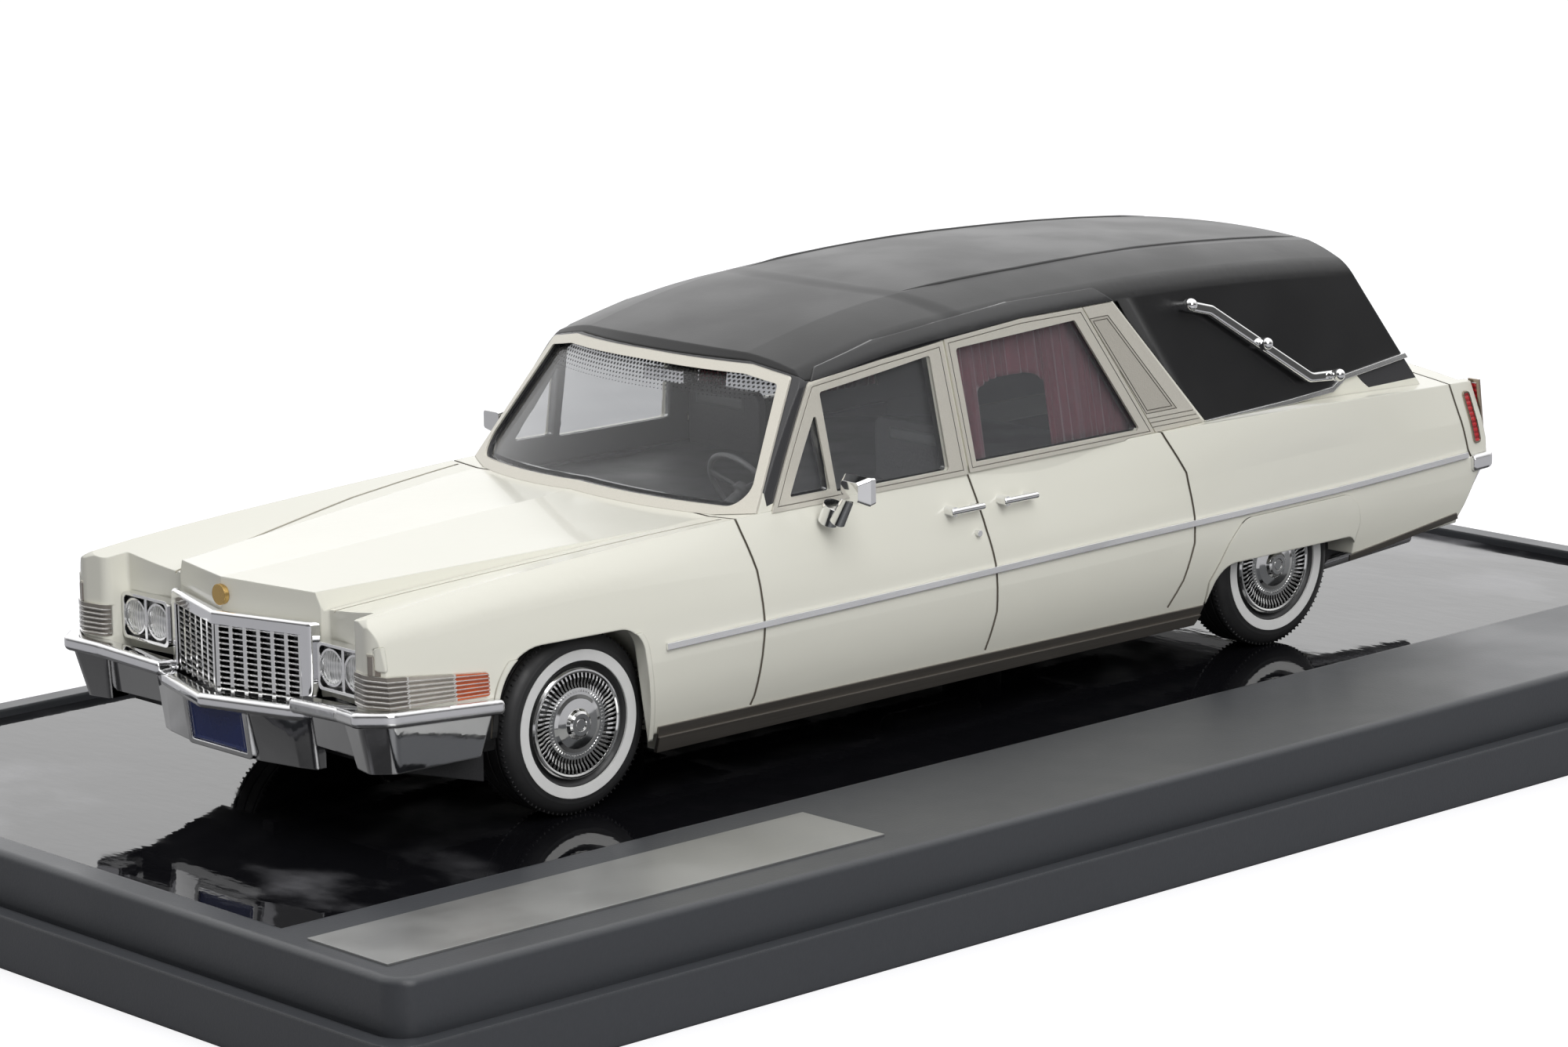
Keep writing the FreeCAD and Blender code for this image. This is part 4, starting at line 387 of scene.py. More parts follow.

# ---- Cabin mouldings -----------------------------------------------
# Tub with door linings and partition in dark grey with a leather grain, and a dashboard
# that is smoother and a shade lighter, the lighter tone partly painted sheen.
trim = Paint("cabin_grey", (0.060, 0.060, 0.064), 0.5)
leather = trim.noise(0.35, detail=4.0)
trim.tones(leather, (0.050, 0.050, 0.054), (0.072, 0.071, 0.076))
trim.gloss(6.0, 0.40, 0.58)
trim.relief(leather, 0.03, rounding_mm=0.3)
finished(trim, "interior_tub", "partition")

# Lighter than the tub, partly as painted sheen on the dashboard's crest.
dash = Paint("dash_grey", (0.11, 0.11, 0.115), 0.34)
dash.tones(dash.noise(5.0), (0.09, 0.09, 0.095), (0.13, 0.13, 0.135))
dash.gloss(3.0, 0.28, 0.40)
dash.relief(dash.noise(0.3), 0.02, rounding_mm=0.5)
finished(dash, "dashboard")


# ---- Partition rests -----------------------------------------------
# Two upright rests with rounded shoulders behind the seat, let into the top of the
# partition through the skin that closes the CAD tub's top, each with a paler panel.
SHARP_EDGE = math.radians(35)
CORNER_STEPS = 8


def own_piece(name, shape, paint, slot, *stood_for):
    """A closed shape drawn in car coordinates, made a piece that is fixed to the car."""
    bmesh.ops.recalc_face_normals(shape, faces=shape.faces)
    shape.transform(Matrix.Translation(ROAD) @ Matrix.Scale(MM, 4))
    mesh = bpy.data.meshes.new(name)
    shape.to_mesh(mesh)
    shape.free()
    mesh.shade_smooth()
    mesh.set_sharp_from_angle(angle=SHARP_EDGE)
    mesh.materials.append(paint.material)
    piece = bpy.data.objects.new(name, mesh)
    studio.collection.objects.link(piece)
    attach(piece, "display_base")
    if stood_for:
        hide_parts(*stood_for)


def skin_over(shape, outlines, endless=False):
    """Adds the faces along a row of outlines, which is closed at its ends or endless."""
    row = [outlines[-1], *outlines] if endless else outlines
    for one, two in zip(row, row[1:]):
        for edge in range(len(one)):
            shape.faces.new((one[edge - 1], two[edge - 1], two[edge], one[edge]))
    if not endless:
        shape.faces.new(row[0])
        shape.faces.new(reversed(row[-1]))


def round_topped(x0, x1, z0, z1, radius):
    """Outline of a plate whose two upper corners are rounded."""
    turn = [math.pi / 2 * step / CORNER_STEPS for step in range(CORNER_STEPS + 1)]
    return ([(x0, z0), (x1, z0)]
            + [(x1 - radius + radius * math.cos(a), z1 - radius + radius * math.sin(a))
               for a in turn]
            + [(x0 + radius - radius * math.sin(a), z1 - radius + radius * math.cos(a))
               for a in turn])


def upright_pair(name, paint, across, heights, stations, radius):
    """A plate with rounded shoulders on each side of the car."""
    pair = bmesh.new()
    for side in (1, -1):
        outline = round_topped(*sorted(side * x for x in across), *heights, radius)
        skin_over(pair, [[pair.verts.new((x, y, z)) for x, z in outline]
                         for y in stations])
    own_piece(name, pair, paint, "interior")


upright_pair("partition_rests", trim, across=(8.3, 18.6), heights=(21.0, 27.9),
             stations=(48.9, 49.8), radius=1.0)
upright_pair("partition_panels", dash, across=(10.4, 17.4), heights=(26.0, 27.1),
             stations=(48.78, 49.0), radius=0.2)

# ---- Front seat ----------------------------------------------------
# Moulded bench in mid grey, with channels as if sewn, from front to back. Its tone is a
# little uneven, and dark in the seams.
CHANNEL_PITCH = 2.2
seat = Paint("seat_grey", (0.115, 0.108, 0.112), 0.6)
channel = (seat.axes(ROAD)[0] / CHANNEL_PITCH).off_middle().ramp(0.40, 0.5)
vinyl = seat.blend(seat.noise(0.4), (0.105, 0.098, 0.102), (0.13, 0.122, 0.126))
seat.tones(channel, vinyl, (0.05, 0.047, 0.05))
seat.gloss(3.0, 0.5, 0.66)
seat.relief(1.0 - channel + seat.noise(0.3) * 0.12, 0.18, rounding_mm=0.5)
finished(seat, "front_seat")

# ---- Load deck -----------------------------------------------------
# Dark varnished boards along the car, with a gap between each two and the grain showing
# a little in colour, gloss and relief.
BOARD_WIDTH = 3.0
deck = Paint("deck_boards", (0.05, 0.042, 0.036), 0.4)
grain = deck.noise(0.5, stretch=(1.0, 14.0, 1.0), detail=4.0)
board_gap = (deck.axes(ROAD)[0] / BOARD_WIDTH).off_middle().ramp(0.46, 0.49)
board = deck.blend(grain, (0.040, 0.030, 0.024), (0.085, 0.062, 0.045))
deck.tones(board_gap, board, (0.012, 0.010, 0.009))
deck.set("Roughness", grain.ramp(0.2, 0.8, 0.32, 0.46))
deck.relief(1.0 - board_gap + grain * 0.2, 0.05, rounding_mm=0.15)
finished(deck, "casket_deck")

# ---- Steering wheel ------------------------------------------------
# Thin ring with a flat hub, three spokes and a short column, raked as in a real car. Its
# lower edge and its foot go through the skin that closes the CAD tub's top. It stands
# higher than the moulded one that it replaces.
RING_RADIUS, GRIP_RADIUS = 4.0, 0.3
RING_STEPS, GRIP_STEPS = 48, 12
HUB, COLUMN = (0.9, 0.2, -0.6), (0.45, -0.5, -4.0)   # radius, top and foot
SPOKE, SPOKE_MIDDLE = (3.9, 0.6, 0.3, 1), (2.1, 0, -0.1)
SPOKE_BEARINGS = (-25.0, 205.0, 90.0)
raked = Matrix.Translation((9.5, 30.8, 23.4)) @ Matrix.Rotation(math.radians(-62.0), 4, "X")
steering = bmesh.new()
loops = []
for step in range(RING_STEPS):
    around = 2 * math.pi * step / RING_STEPS
    loop = []
    for turn in range(GRIP_STEPS):
        tip = 2 * math.pi * turn / GRIP_STEPS
        reach = RING_RADIUS + GRIP_RADIUS * math.cos(tip)
        spot = Vector((reach * math.cos(around), reach * math.sin(around),
                       GRIP_RADIUS * math.sin(tip)))
        loop.append(steering.verts.new(raked @ spot))
    loops.append(loop)
skin_over(steering, loops, endless=True)
for radius, top, foot in (HUB, COLUMN):
    bmesh.ops.create_cone(steering, cap_ends=True, segments=24, radius1=radius,
                          radius2=radius, depth=top - foot,
                          matrix=raked @ Matrix.Translation((0, 0, (top + foot) / 2)))
for bearing in SPOKE_BEARINGS:
    bmesh.ops.create_cube(steering, size=1.0, matrix=raked
                          @ Matrix.Rotation(math.radians(bearing), 4, "Z")
                          @ Matrix.Translation(SPOKE_MIDDLE) @ Matrix.Diagonal(SPOKE))
own_piece("steering", steering, dash, "interior", "steering_wheel")

# ---- Side curtains -------------------------------------------------
# Burgundy cloth gathered into pleats on a rail inside each rear door window, with an
# opening in the middle under a short header.
RAIL_FRONT, RAIL_REAR, RAIL_TOP, CURTAIN_FOOT = 49.9, 74.6, 36.9, 24.3
RAIL_LEVEL, RAIL_RISE = 36.2, 0.03                   # at its front, and for each millimetre
REAR_EDGE, REAR_EDGE_RISE = 75.0, 13.0 / 8.0         # the window's rear edge at its foot
OPENING_FRONT, OPENING_REAR, OPENING_TOP, ARCH = 53.5, 62.4, 31.8, 1.1
DROPS = ((RAIL_FRONT, OPENING_FRONT, CURTAIN_FOOT, 0.0),      # front, rear, foot and the
         (OPENING_FRONT, OPENING_REAR, OPENING_TOP, ARCH),    # arch cut into the foot
         (OPENING_REAR, RAIL_REAR, CURTAIN_FOOT, 0.0))
PLEAT, PLEAT_DEPTH, PLEAT_COLUMNS, CLOTH = 1.05, 0.2, 10, 0.06
ROWS, GATHERED_ROWS, FULLNESS = 10, 3, 1.25
PANE_FOOT, PANE_HEIGHT = 24.0, 12.3


def curtain_rail(station):
    """Height of the rail: it follows the window's top edge and its raked rear edge."""
    return min(RAIL_LEVEL + (station - RAIL_FRONT) * RAIL_RISE,
               PANE_FOOT + (REAR_EDGE - station) * REAR_EDGE_RISE)


def pleat_wave(station):
    """How far the cloth stands out at a station: uneven pleats."""
    phase = station / PLEAT + 0.35 * math.sin(station * 0.9) + 0.2 * math.sin(station * 2.3)
    return PLEAT_DEPTH * math.sin(2 * math.pi * phase) * (0.8 + 0.2 * math.sin(station * 1.7))


def cloth_reach(side, low, high):
    """Distance from the car's middle to the CAD curtain between two heights."""
    places = [(v.co - ROAD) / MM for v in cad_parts["curtains"].data.vertices]
    reach = [side * p.x for p in places if side * p.x > 0 and low < p.z < high]
    return (min(reach) + max(reach)) / 2


def hung_cloth(side, paint):
    """One curtain: two drops beside the opening and the header over it."""
    foot_x, head_x = cloth_reach(side, 0.0, 25.0), cloth_reach(side, 35.5, 50.0)
    cloth = bmesh.new()
    for front, rear, foot, arch in DROPS:
        columns = round((rear - front) / PLEAT * PLEAT_COLUMNS)
        lines = []
        for column in range(columns + 1):
            share = column / columns
            station = front + (rear - front) * share
            rail = max(curtain_rail(station), foot + 0.3)
            low = foot - arch * abs(2 * share - 1) ** 4
            line = []
            for row in range(ROWS + 1):
                height = rail + (low - rail) * row / ROWS
                gather = 0.45 + 0.55 * min(1.0, row / GATHERED_ROWS)
                inset = (foot_x + (head_x - foot_x) * (height - PANE_FOOT) / PANE_HEIGHT
                         + pleat_wave(station) * gather)
                spot = Vector((side * inset, station, height))
                line.append(cloth.verts.new(ROAD + spot * MM))
            lines.append(line)
        for one, two in zip(lines, lines[1:]):
            for a, b, c, d in zip(one, one[1:], two[1:], two):
                cloth.faces.new((a, b, c, d) if side < 0 else (d, c, b, a))
    flat_area = sum(face.calc_area() for face in cloth.faces)
    mesh = bpy.data.meshes.new("curtain")
    cloth.to_mesh(mesh)
    cloth.free()
    mesh.shade_smooth()
    drop = bpy.data.objects.new("curtain_left" if side > 0 else "curtain_right", mesh)
    studio.collection.objects.link(drop)
    solid = drop.modifiers.new("cloth", "SOLIDIFY")
    solid.thickness = CLOTH * MM
    made_plain(drop)
    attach(drop, "display_base")
    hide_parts("curtains")
    length = (RAIL_TOP - CURTAIN_FOOT) * MM
    flat_area / length * FULLNESS
    drop.data.materials.append(paint.material)


def made_plain(piece):
    """Turns a piece with its modifiers into a plain mesh."""
    bpy.context.view_layer.update()
    piece.data = bpy.data.meshes.new_from_object(
        piece.evaluated_get(bpy.context.evaluated_depsgraph_get()))
    piece.modifiers.clear()


THREAD_PITCH = 2 * math.pi / 60
velvet = Paint("burgundy_cloth", (0.13, 0.018, 0.036), 0.75, sheen_weight=0.4)
_, y, z = velvet.axes(ROAD)
threads = (y.waves(THREAD_PITCH) + z.waves(THREAD_PITCH)) * 0.5
velvet.tones(velvet.noise(1.1, stretch=(1, 0.5, 9.0), detail=4.0), (0.075, 0.010, 0.020),
             (0.21, 0.030, 0.055))
velvet.set("Roughness", threads * 0.15 + 0.68)
velvet.relief(threads, 0.006)
for side in (1, -1):
    hung_cloth(side, velvet)


# ---- Windshield glass ----------------------------------------------
# Thin clear pane bonded behind its frame. A screened band of dots runs along its top, in
# staggered rows; the dots shrink towards the band's lower edge.
def pane(name, color, smears, veil):
    """Clear glass with faint smears and a thin milky veil."""
    glass = Paint(name, color, 0.01, transmission_weight=1.0, ior=1.3)
    smear = glass.noise(9.0, detail=4.0).ramp(0.45, 0.75, 0.0, smears)
    glass.set("Roughness", smear + 0.004)
    glass.tones(glass.noise(16.0, detail=1.0), color, [min(1.0, c * 1.04) for c in color])
    glass.coat(veil, glass.node("ShaderNodeBsdfDiffuse", {},
                                {"Color": (0.72, 0.73, 0.76, 1)}))
    return glass


DOT_PITCH, DOT_RADIUS = 0.50, 0.17
ROW_PITCH = DOT_PITCH * 0.866                        # rows stand in a triangular pattern
BAND_FOOT, BAND_TOP, BAND_FADE = 33.0, 35.3, 1.5
RAKE_GAIN = 1.29                                     # length up the raked glass to a height
screened = pane("windshield_glass", (0.97, 0.98, 0.98), smears=0.03, veil=0.015)
x, _, z = screened.axes(ROAD)
row = (z * RAKE_GAIN / ROW_PITCH) % 2.0
across_dot = ((x / DOT_PITCH + (row > 1.0) * 0.5) % 1.0 - 0.5) * DOT_PITCH
up_dot = (row % 1.0 - 0.5) * ROW_PITCH
dot_size = z.ramp(BAND_FOOT - BAND_FADE, BAND_TOP, 0.0, DOT_RADIUS)
inner_face = screened.node("ShaderNodeNewGeometry", {}, {}, "Backfacing")
dots = (((across_dot * across_dot + up_dot * up_dot).root() < dot_size) * (z > BAND_FOOT)
        * (1.0 - inner_face))
screened.coat(dots, screened.node("ShaderNodeBsdfPrincipled", {}, {
    "Base Color": (0.01, 0.01, 0.011, 1), "Roughness": 0.35}))
finished(screened, "windshield_glass")

# ---- Side and rear glass -------------------------------------------
# Thin panes bonded behind their frames, nearly clear in the front doors and lightly smoked
# in the rear doors and the rear window.
clear = pane("door_glass", (0.93, 0.94, 0.94), smears=0.03, veil=0.04)
finished(clear, "front_door_glass")
smoke = pane("rear_glass", (0.74, 0.75, 0.76), smears=0.04, veil=0.05)
finished(smoke, "rear_door_glass", "rear_window_glass")

# ---- Etched window frames ------------------------------------------
# Thin sheet metal etched on both faces: satin champagne, with fine half-etched lines that
# hold a brown wash and painted shade, which also darkens its narrow corners. The frames are
# glued on, set flush.
PALE_TONES = (0.68, 0.65, 0.57), (0.77, 0.74, 0.66)
ETCH_WASH_AND_SHADE, ETCH_GRAIN = (0.16, 0.14, 0.12), 0.16
champagne = Paint("etched_champagne", (0.72, 0.69, 0.61), 0.34, metallic=0.35)
# The etched lines are darkened brown by a wash and by painted shade.
etch_line_and_shade = crevice(champagne, ETCH_GRAIN, 0.40, 0.80)
grain = champagne.noise(ETCH_GRAIN, detail=2.0)
champagne.tones(etch_line_and_shade, champagne.blend(grain, *PALE_TONES), ETCH_WASH_AND_SHADE)
champagne.set("Roughness", grain.ramp(*CLOUD, 0.28, 0.40) + etch_line_and_shade * 0.3)
champagne.set("Metallic", 0.35 - etch_line_and_shade * 0.3)
champagne.relief(grain, 0.008, rounding_mm=0.05)
finished(champagne, "windshield_frame", "front_door_frames", "rear_door_frames")

# ---- Quarter panels ------------------------------------------------
# Etched like the frames, behind the rear doors. Their raked inset is a shade greyer, and
# rougher, than the border round it.
INSET_ENDS, INSET_HEIGHTS = (74.2, 78.4), (26.15, 36.2)
FRONT_RAKE, REAR_RAKE = 0.634, 0.798                 # forwards for each millimetre up
quarter = Paint("etched_quarter", (0.66, 0.64, 0.57), 0.36, metallic=0.35)
_, y, z = quarter.axes(ROAD)
# Its etched lines are darkened like the frames', by a wash and by painted shade.
etch_line_and_shade = crevice(quarter, ETCH_GRAIN, 0.40, 0.80)
grain = quarter.noise(ETCH_GRAIN, detail=2.0)
rise = z - 26.1
inset = ((y + rise * FRONT_RAKE > INSET_ENDS[0]) * (y + rise * REAR_RAKE < INSET_ENDS[1])
         * z.between(*INSET_HEIGHTS))
greyer = quarter.blend(grain, (0.50, 0.475, 0.42), (0.60, 0.57, 0.50))
quarter.tones(etch_line_and_shade, quarter.blend(inset, quarter.blend(grain, *PALE_TONES), greyer),
              ETCH_WASH_AND_SHADE)
quarter.set("Roughness", grain.ramp(*CLOUD, 0.28, 0.40) + inset * 0.12)
quarter.relief(grain * (inset * 1.5 + 1.0), 0.008, rounding_mm=0.05)
finished(quarter, "quarter_panels")

# ---- Padded roof ---------------------------------------------------
# Resin casting in satin black. The padding behind the front panel stands up by a little,
# and starts at a soft crease that bows to the rear at the shoulders.
CREASE, CREASE_BOW, PAD_HEIGHT = (45.6, 48.4), 0.0135, 0.22
satin = Paint("roof_black", (0.006, 0.006, 0.0065), 0.36, specular_ior_level=0.5)
x, y, _ = satin.axes(ROAD)
padding = (y - x * x * CREASE_BOW).ramp(*CREASE)
grain = satin.noise(0.3, detail=2.0)
satin.tones(satin.noise(12.0), (0.005, 0.005, 0.0055), (0.009, 0.009, 0.0095))
satin.gloss(10.0, 0.33, 0.40)
satin.relief(padding + grain * 0.02, PAD_HEIGHT, rounding_mm=0.3)
finished(satin, "roof_shell")


# ---- Roof seams ----------------------------------------------------
# Fine raised seams of the padding, one along each shoulder of the roof. They are laid on
# the casting's skin and fade out at both ends.
def skin_of(name):
    """The surface of a CAD piece, for laying other pieces on it."""
    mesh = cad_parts[name].data
    return BVHTree.FromPolygons([v.co for v in mesh.vertices],
                                [p.vertices for p in mesh.polygons])


SEAM = ((10.9, 49.4), (11.42, 55.0), (11.7, 65.0), (11.5, 73.0), (10.9, 82.0), (10.8, 95.0),
        (10.6, 108.0))                                # across and along, from the front
SEAM_HALF, SEAM_HEIGHT, SEAM_FADE = 0.26, 0.17, 5.0  # half width, height, faded length
SEAM_STEPS, BULGE_STEPS = 80, 3                      # along the seam, and across each half
SUNK, ROOT_DEPTH, ABOVE_ROOF = 0.02, 0.2, 0.1        # in millimetres, the last in metres
roof_skin = skin_of("roof_shell")
seams = bmesh.new()
seam_front, seam_rear = SEAM[0][1], SEAM[-1][1]
for side in (1, -1):
    rows = []
    for step in range(SEAM_STEPS + 1):
        station = seam_front + step * (seam_rear - seam_front) / SEAM_STEPS
        after = next(i for i in range(1, len(SEAM)) if station <= SEAM[i][1] + 1e-6)
        (xa, ya), (xb, yb) = SEAM[after - 1], SEAM[after]
        middle = side * (xa + (xb - xa) * (station - ya) / (yb - ya))
        fade = min(1.0, (station - seam_front) / SEAM_FADE, (seam_rear - station) / SEAM_FADE)
        row = []
        for across in range(-BULGE_STEPS, BULGE_STEPS + 1):
            off = SEAM_HALF * across / BULGE_STEPS
            over = Vector((ROAD.x + (middle + off) * MM, ROAD.y + station * MM, ABOVE_ROOF))
            hit, normal, _, _ = roof_skin.ray_cast(over, Vector((0, 0, -1)))
            bulge = SEAM_HEIGHT * fade * math.cos(math.pi / 2 * off / SEAM_HALF) - SUNK
            row.append(seams.verts.new((hit + normal * bulge * MM - ROAD) / MM))
        row.append(seams.verts.new((hit - normal * ROOT_DEPTH * MM - ROAD) / MM
                                   - Vector((SEAM_HALF, 0, 0))))
        rows.append(row)
    skin_over(seams, rows)
own_piece("roof_seams", seams, satin, "roof_paint")

# ---- Drip bands ----------------------------------------------------
# Gloss black bands along the lower edge of the roof, one on each side, which hide the joint
# between the roof and the body.
black = Paint("gloss_black", (0.006, 0.006, 0.007), 0.08, coat_weight=0.4)
black.gloss(2.5, 0.05, 0.12)
black.tones(black.noise(6.0), (0.004, 0.004, 0.005), (0.010, 0.010, 0.011))
black.relief(black.noise(0.8), 0.003, rounding_mm=0.12)
finished(black, "drip_bands")


# ---- Grille and its surround ---------------------------------------
# Plated egg-crate casting, its crests bright and its depths washed black with painted shade, in
# front of a black plate. The surround is polished, and a plain oval badge in brass stands above
# it.
def plated(name, color, roughness, wash_and_shade, rounding, reach=0.7):
    """Vacuum-plated finish: slightly uneven gloss, and darkened in its corners, partly washed
    and partly painted shade.
    """
    paint = Paint(name, color, roughness, metallic=1.0)
    # Dark in the corners and recesses: a wash, and painted shade.
    dark = crevice(paint, reach, 0.25, 0.70) * wash_and_shade
    tone = paint.blend(paint.noise(2.2), [c * 0.93 for c in color], color)
    paint.tones(dark, tone, (0.012, 0.012, 0.013))
    paint.set("Roughness", paint.noise(1.3).ramp(0.3, 0.75, roughness, roughness * 2.2)
              + dark * 0.3)
    paint.relief(paint.noise(0.9, detail=1.0), 0.004, rounding_mm=rounding)
    return paint


grille = plated("grille_bright", (0.88, 0.88, 0.87), 0.06, wash_and_shade=1.0, rounding=0.07, reach=1.0)
finished(grille, "grille")
finished(black, "grille_backing")
chrome = plated("plated_bright", (0.88, 0.88, 0.89), 0.035, wash_and_shade=0.75, rounding=0.12)
finished(chrome, "grille_surround", "rear_window_frame", "inside_mirror")
brass = plated("badge_brass", (0.62, 0.42, 0.16), 0.16, wash_and_shade=0.5, rounding=0.1, reach=0.4)
finished(brass, "hood_badge")

# ---- Bumpers -------------------------------------------------------
# Plated castings, polished, with rolled upper blades over plain faces that lean under. The
# darkening in their corners, a wash with painted shade, is thinner than on the smaller
# castings.
bumper = plated("bumper_plate", (0.86, 0.86, 0.87), 0.03, wash_and_shade=0.5, rounding=0.2)
finished(bumper, "front_bumper", "rear_bumper")

# ---- Licence plate -------------------------------------------------
# Blank blue panel in the front bumper's middle, with a low pressed lip just inside its
# edge, where the paint is worn a little paler.
LIP_X = (3.5, 3.7), (3.75, 3.95)                     # it rises, then falls, from the middle
LIP_Z = (1.45, 1.65), (1.7, 1.85)
blue = Paint("plate_blue", (0.012, 0.030, 0.17), 0.25, coat_weight=0.3)
x, _, z = map(abs, blue.axes(middle_of("licence_plate")))
inner_edge = (x.ramp(*LIP_X[0]) + z.ramp(*LIP_Z[0])).least(1.0)
lip = inner_edge * (1.0 - x.ramp(*LIP_X[1])) * (1.0 - z.ramp(*LIP_Z[1]))
blue.tones(lip * 0.25 + blue.noise(1.2) * 0.2, (0.010, 0.026, 0.16), (0.035, 0.07, 0.27))
blue.gloss(1.8, 0.2, 0.34)
blue.relief(lip, 0.05, rounding_mm=0.08)
finished(blue, "licence_plate")

# ---- Headlamps -----------------------------------------------------
# Bright double bezels with corners darkened by a wash and painted shade, and two round
# pressed-glass lenses each side with fluting over a silvered bowl.
FLUTE_PITCH, BAR_PITCH = 0.34, 0.85
bezel = plated("bezel_bright", (0.87, 0.87, 0.87), 0.05, wash_and_shade=0.75, rounding=0.08, reach=0.6)
finished(bezel, "headlamp_bezels")

fluted = Paint("fluted_lens", (0.72, 0.73, 0.73), 0.14, metallic=0.55, coat_weight=1.0,
               coat_roughness=0.05)
x, _, z = fluted.axes(ROAD)
pattern = (x.waves(FLUTE_PITCH) * 0.6
           + z.waves(BAR_PITCH, shift=(x * 3.1).sine() * 0.5) * 0.4)
fluted.tones(pattern, (0.50, 0.51, 0.51), (0.88, 0.88, 0.87))
fluted.gloss(0.8, 0.1, 0.24)
fluted.relief(pattern + fluted.noise(0.5) * 0.5, 0.06, rounding_mm=0.1)
finished(fluted, "headlamp_lenses")

# ---- Wrap-round turn lamps -----------------------------------------
# Ribbed lamps let into the fenders: bright ribs that fan out forwards with two uprights
# across them, clear between them and amber in the rear third.
RIBS = 6
POSTS, POST_HALF = (20.3, 15.3), 0.10                # ahead of the axle
CORNER = (-20.6, -20.0)                              # stations where the lamp turns round
LAMP_FOOT, FOOT_FALL = 12.96, 0.04                   # both edges fall to the rear, the upper
LAMP_HEIGHT, TAPER = 1.34, 0.06                      # one faster


def ribbed(name, valley, valley_dark):
    """Lens whose bright crests follow the lamp's taper; it is dimmer at the corner."""
    lamp = Paint(name, valley, 0.16, coat_weight=0.8, coat_roughness=0.04)
    _, y, z = lamp.axes(ROAD)
    foot = LAMP_FOOT - y * FOOT_FALL
    height = LAMP_HEIGHT - y * TAPER
    front_post, rear_post = (abs(y + ahead) < POST_HALF for ahead in POSTS)
    crest = (((z - foot) / height * RIBS).off_middle().ramp(0.06, 0.15, 1.0, 0.0)
             .most(front_post.most(rear_post)))
    corner = y.ramp(*CORNER, 0.7, 0.0)
    valleys = lamp.blend(corner, lamp.blend(lamp.noise(1.2), valley_dark, valley),
                         (0.10, 0.085, 0.07))
    lamp.tones(crest, valleys, (0.86, 0.84, 0.79))
    lamp.set("Metallic", crest * 0.85)
    lamp.gloss(0.9, 0.08, 0.2)
    lamp.relief(crest, 0.10, rounding_mm=0.06)
    return lamp


finished(ribbed("turn_clear", (0.50, 0.46, 0.40), (0.34, 0.31, 0.27)), "turn_lamps_clear")
finished(ribbed("turn_amber", (0.80, 0.17, 0.03), (0.45, 0.07, 0.02)), "turn_lamps_amber")

# ---- Corner lenses -------------------------------------------------
# Small smoky lenses that wrap the fenders' front corners above the bumper, each in a thin
# etched frame with one rib across it. They are laid on the casting's skin.
marker = Paint("marker_lens", (0.22, 0.19, 0.165), 0.12, coat_weight=0.8,
               coat_roughness=0.04)
marker.tones(marker.noise(0.5), (0.17, 0.145, 0.125), (0.30, 0.265, 0.23))
marker.gloss(0.8, 0.08, 0.18)
marker.relief(marker.noise(0.3, (1, 1, 0.3)), 0.01, rounding_mm=0.06)

CORNER_X, CORNER_STATION = 19.5, -20.5               # where the bearings are taken from
PATCH_STEPS, PATCH_DEPTH, OUTSIDE = 8, 0.2, 0.02     # the last in metres
fender_skin = skin_of("body_shell")


def corner_patch(name, paint, slot, bearings, heights, proud):
    """A pair of raised patches round the fenders' front corners, between two bearings."""
    patches = bmesh.new()
    start, end = bearings
    for side in (1, -1):
        rows = []
        for step in range(PATCH_STEPS + 1):
            bearing = math.radians(start + (end - start) * step / PATCH_STEPS)
            heading = Vector((side * math.cos(bearing), math.sin(bearing), 0))
            column = []
            for height in heights:
                middle = ROAD + Vector((side * CORNER_X, CORNER_STATION, height)) * MM
                hit = fender_skin.ray_cast(middle + heading * OUTSIDE, -heading)[0]
                column.append((hit - ROAD) / MM)
            low, high = column
            rows.append([patches.verts.new(corner + heading * out)
                         for corner, out in ((low, proud), (high, proud),
                                             (high, -PATCH_DEPTH), (low, -PATCH_DEPTH))])
        skin_over(patches, rows)
    own_piece(name, patches, paint, slot)


corner_patch("marker_frames", champagne, "etched", bearings=(-61.5, -37.0),
             heights=(16.65, 18.7), proud=0.08)
corner_patch("marker_lenses", marker, "lens", bearings=(-59.5, -39.0),
             heights=(16.85, 18.5), proud=0.13)
corner_patch("marker_ribs", champagne, "etched", bearings=(-50.5, -48.0),
             heights=(16.85, 18.5), proud=0.18)

# ---- Bright strips -------------------------------------------------
# Self-adhesive bright foil along the flanks and under the roof, with the slight waves that
# such foil keeps when it is laid by hand.
foil = Paint("bright_foil", (0.90, 0.90, 0.90), 0.12, metallic=0.9)
foil.set("Roughness", foil.noise(0.8, (1, 9, 1)).ramp(*CLOUD, 0.10, 0.22))
foil.tones(foil.noise(4.0, (1, 5, 1)), (0.84, 0.84, 0.84), (0.93, 0.93, 0.93))
foil.relief(foil.noise(0.9, stretch=(1, 6, 1), detail=1.0), 0.006, rounding_mm=0.09)
finished(foil, "side_trims", "belt_trims")

# ---- Sill strips ---------------------------------------------------
# Etched strips along the sills in grey-brown metal, brushed along their length, so that
# their gloss is drawn out the same way.
sill = Paint("sill_grey_brown", (0.20, 0.185, 0.165), 0.36, metallic=0.8)
drawn = sill.noise(0.18, stretch=(1, 60, 1), detail=2.0)
sill.tones(drawn, (0.165, 0.150, 0.132), (0.235, 0.218, 0.196))
sill.set("Roughness", drawn.ramp(0.2, 0.8, 0.28, 0.44))
sill.relief(drawn, 0.006, rounding_mm=0.1)
finished(sill, "rocker_trims")

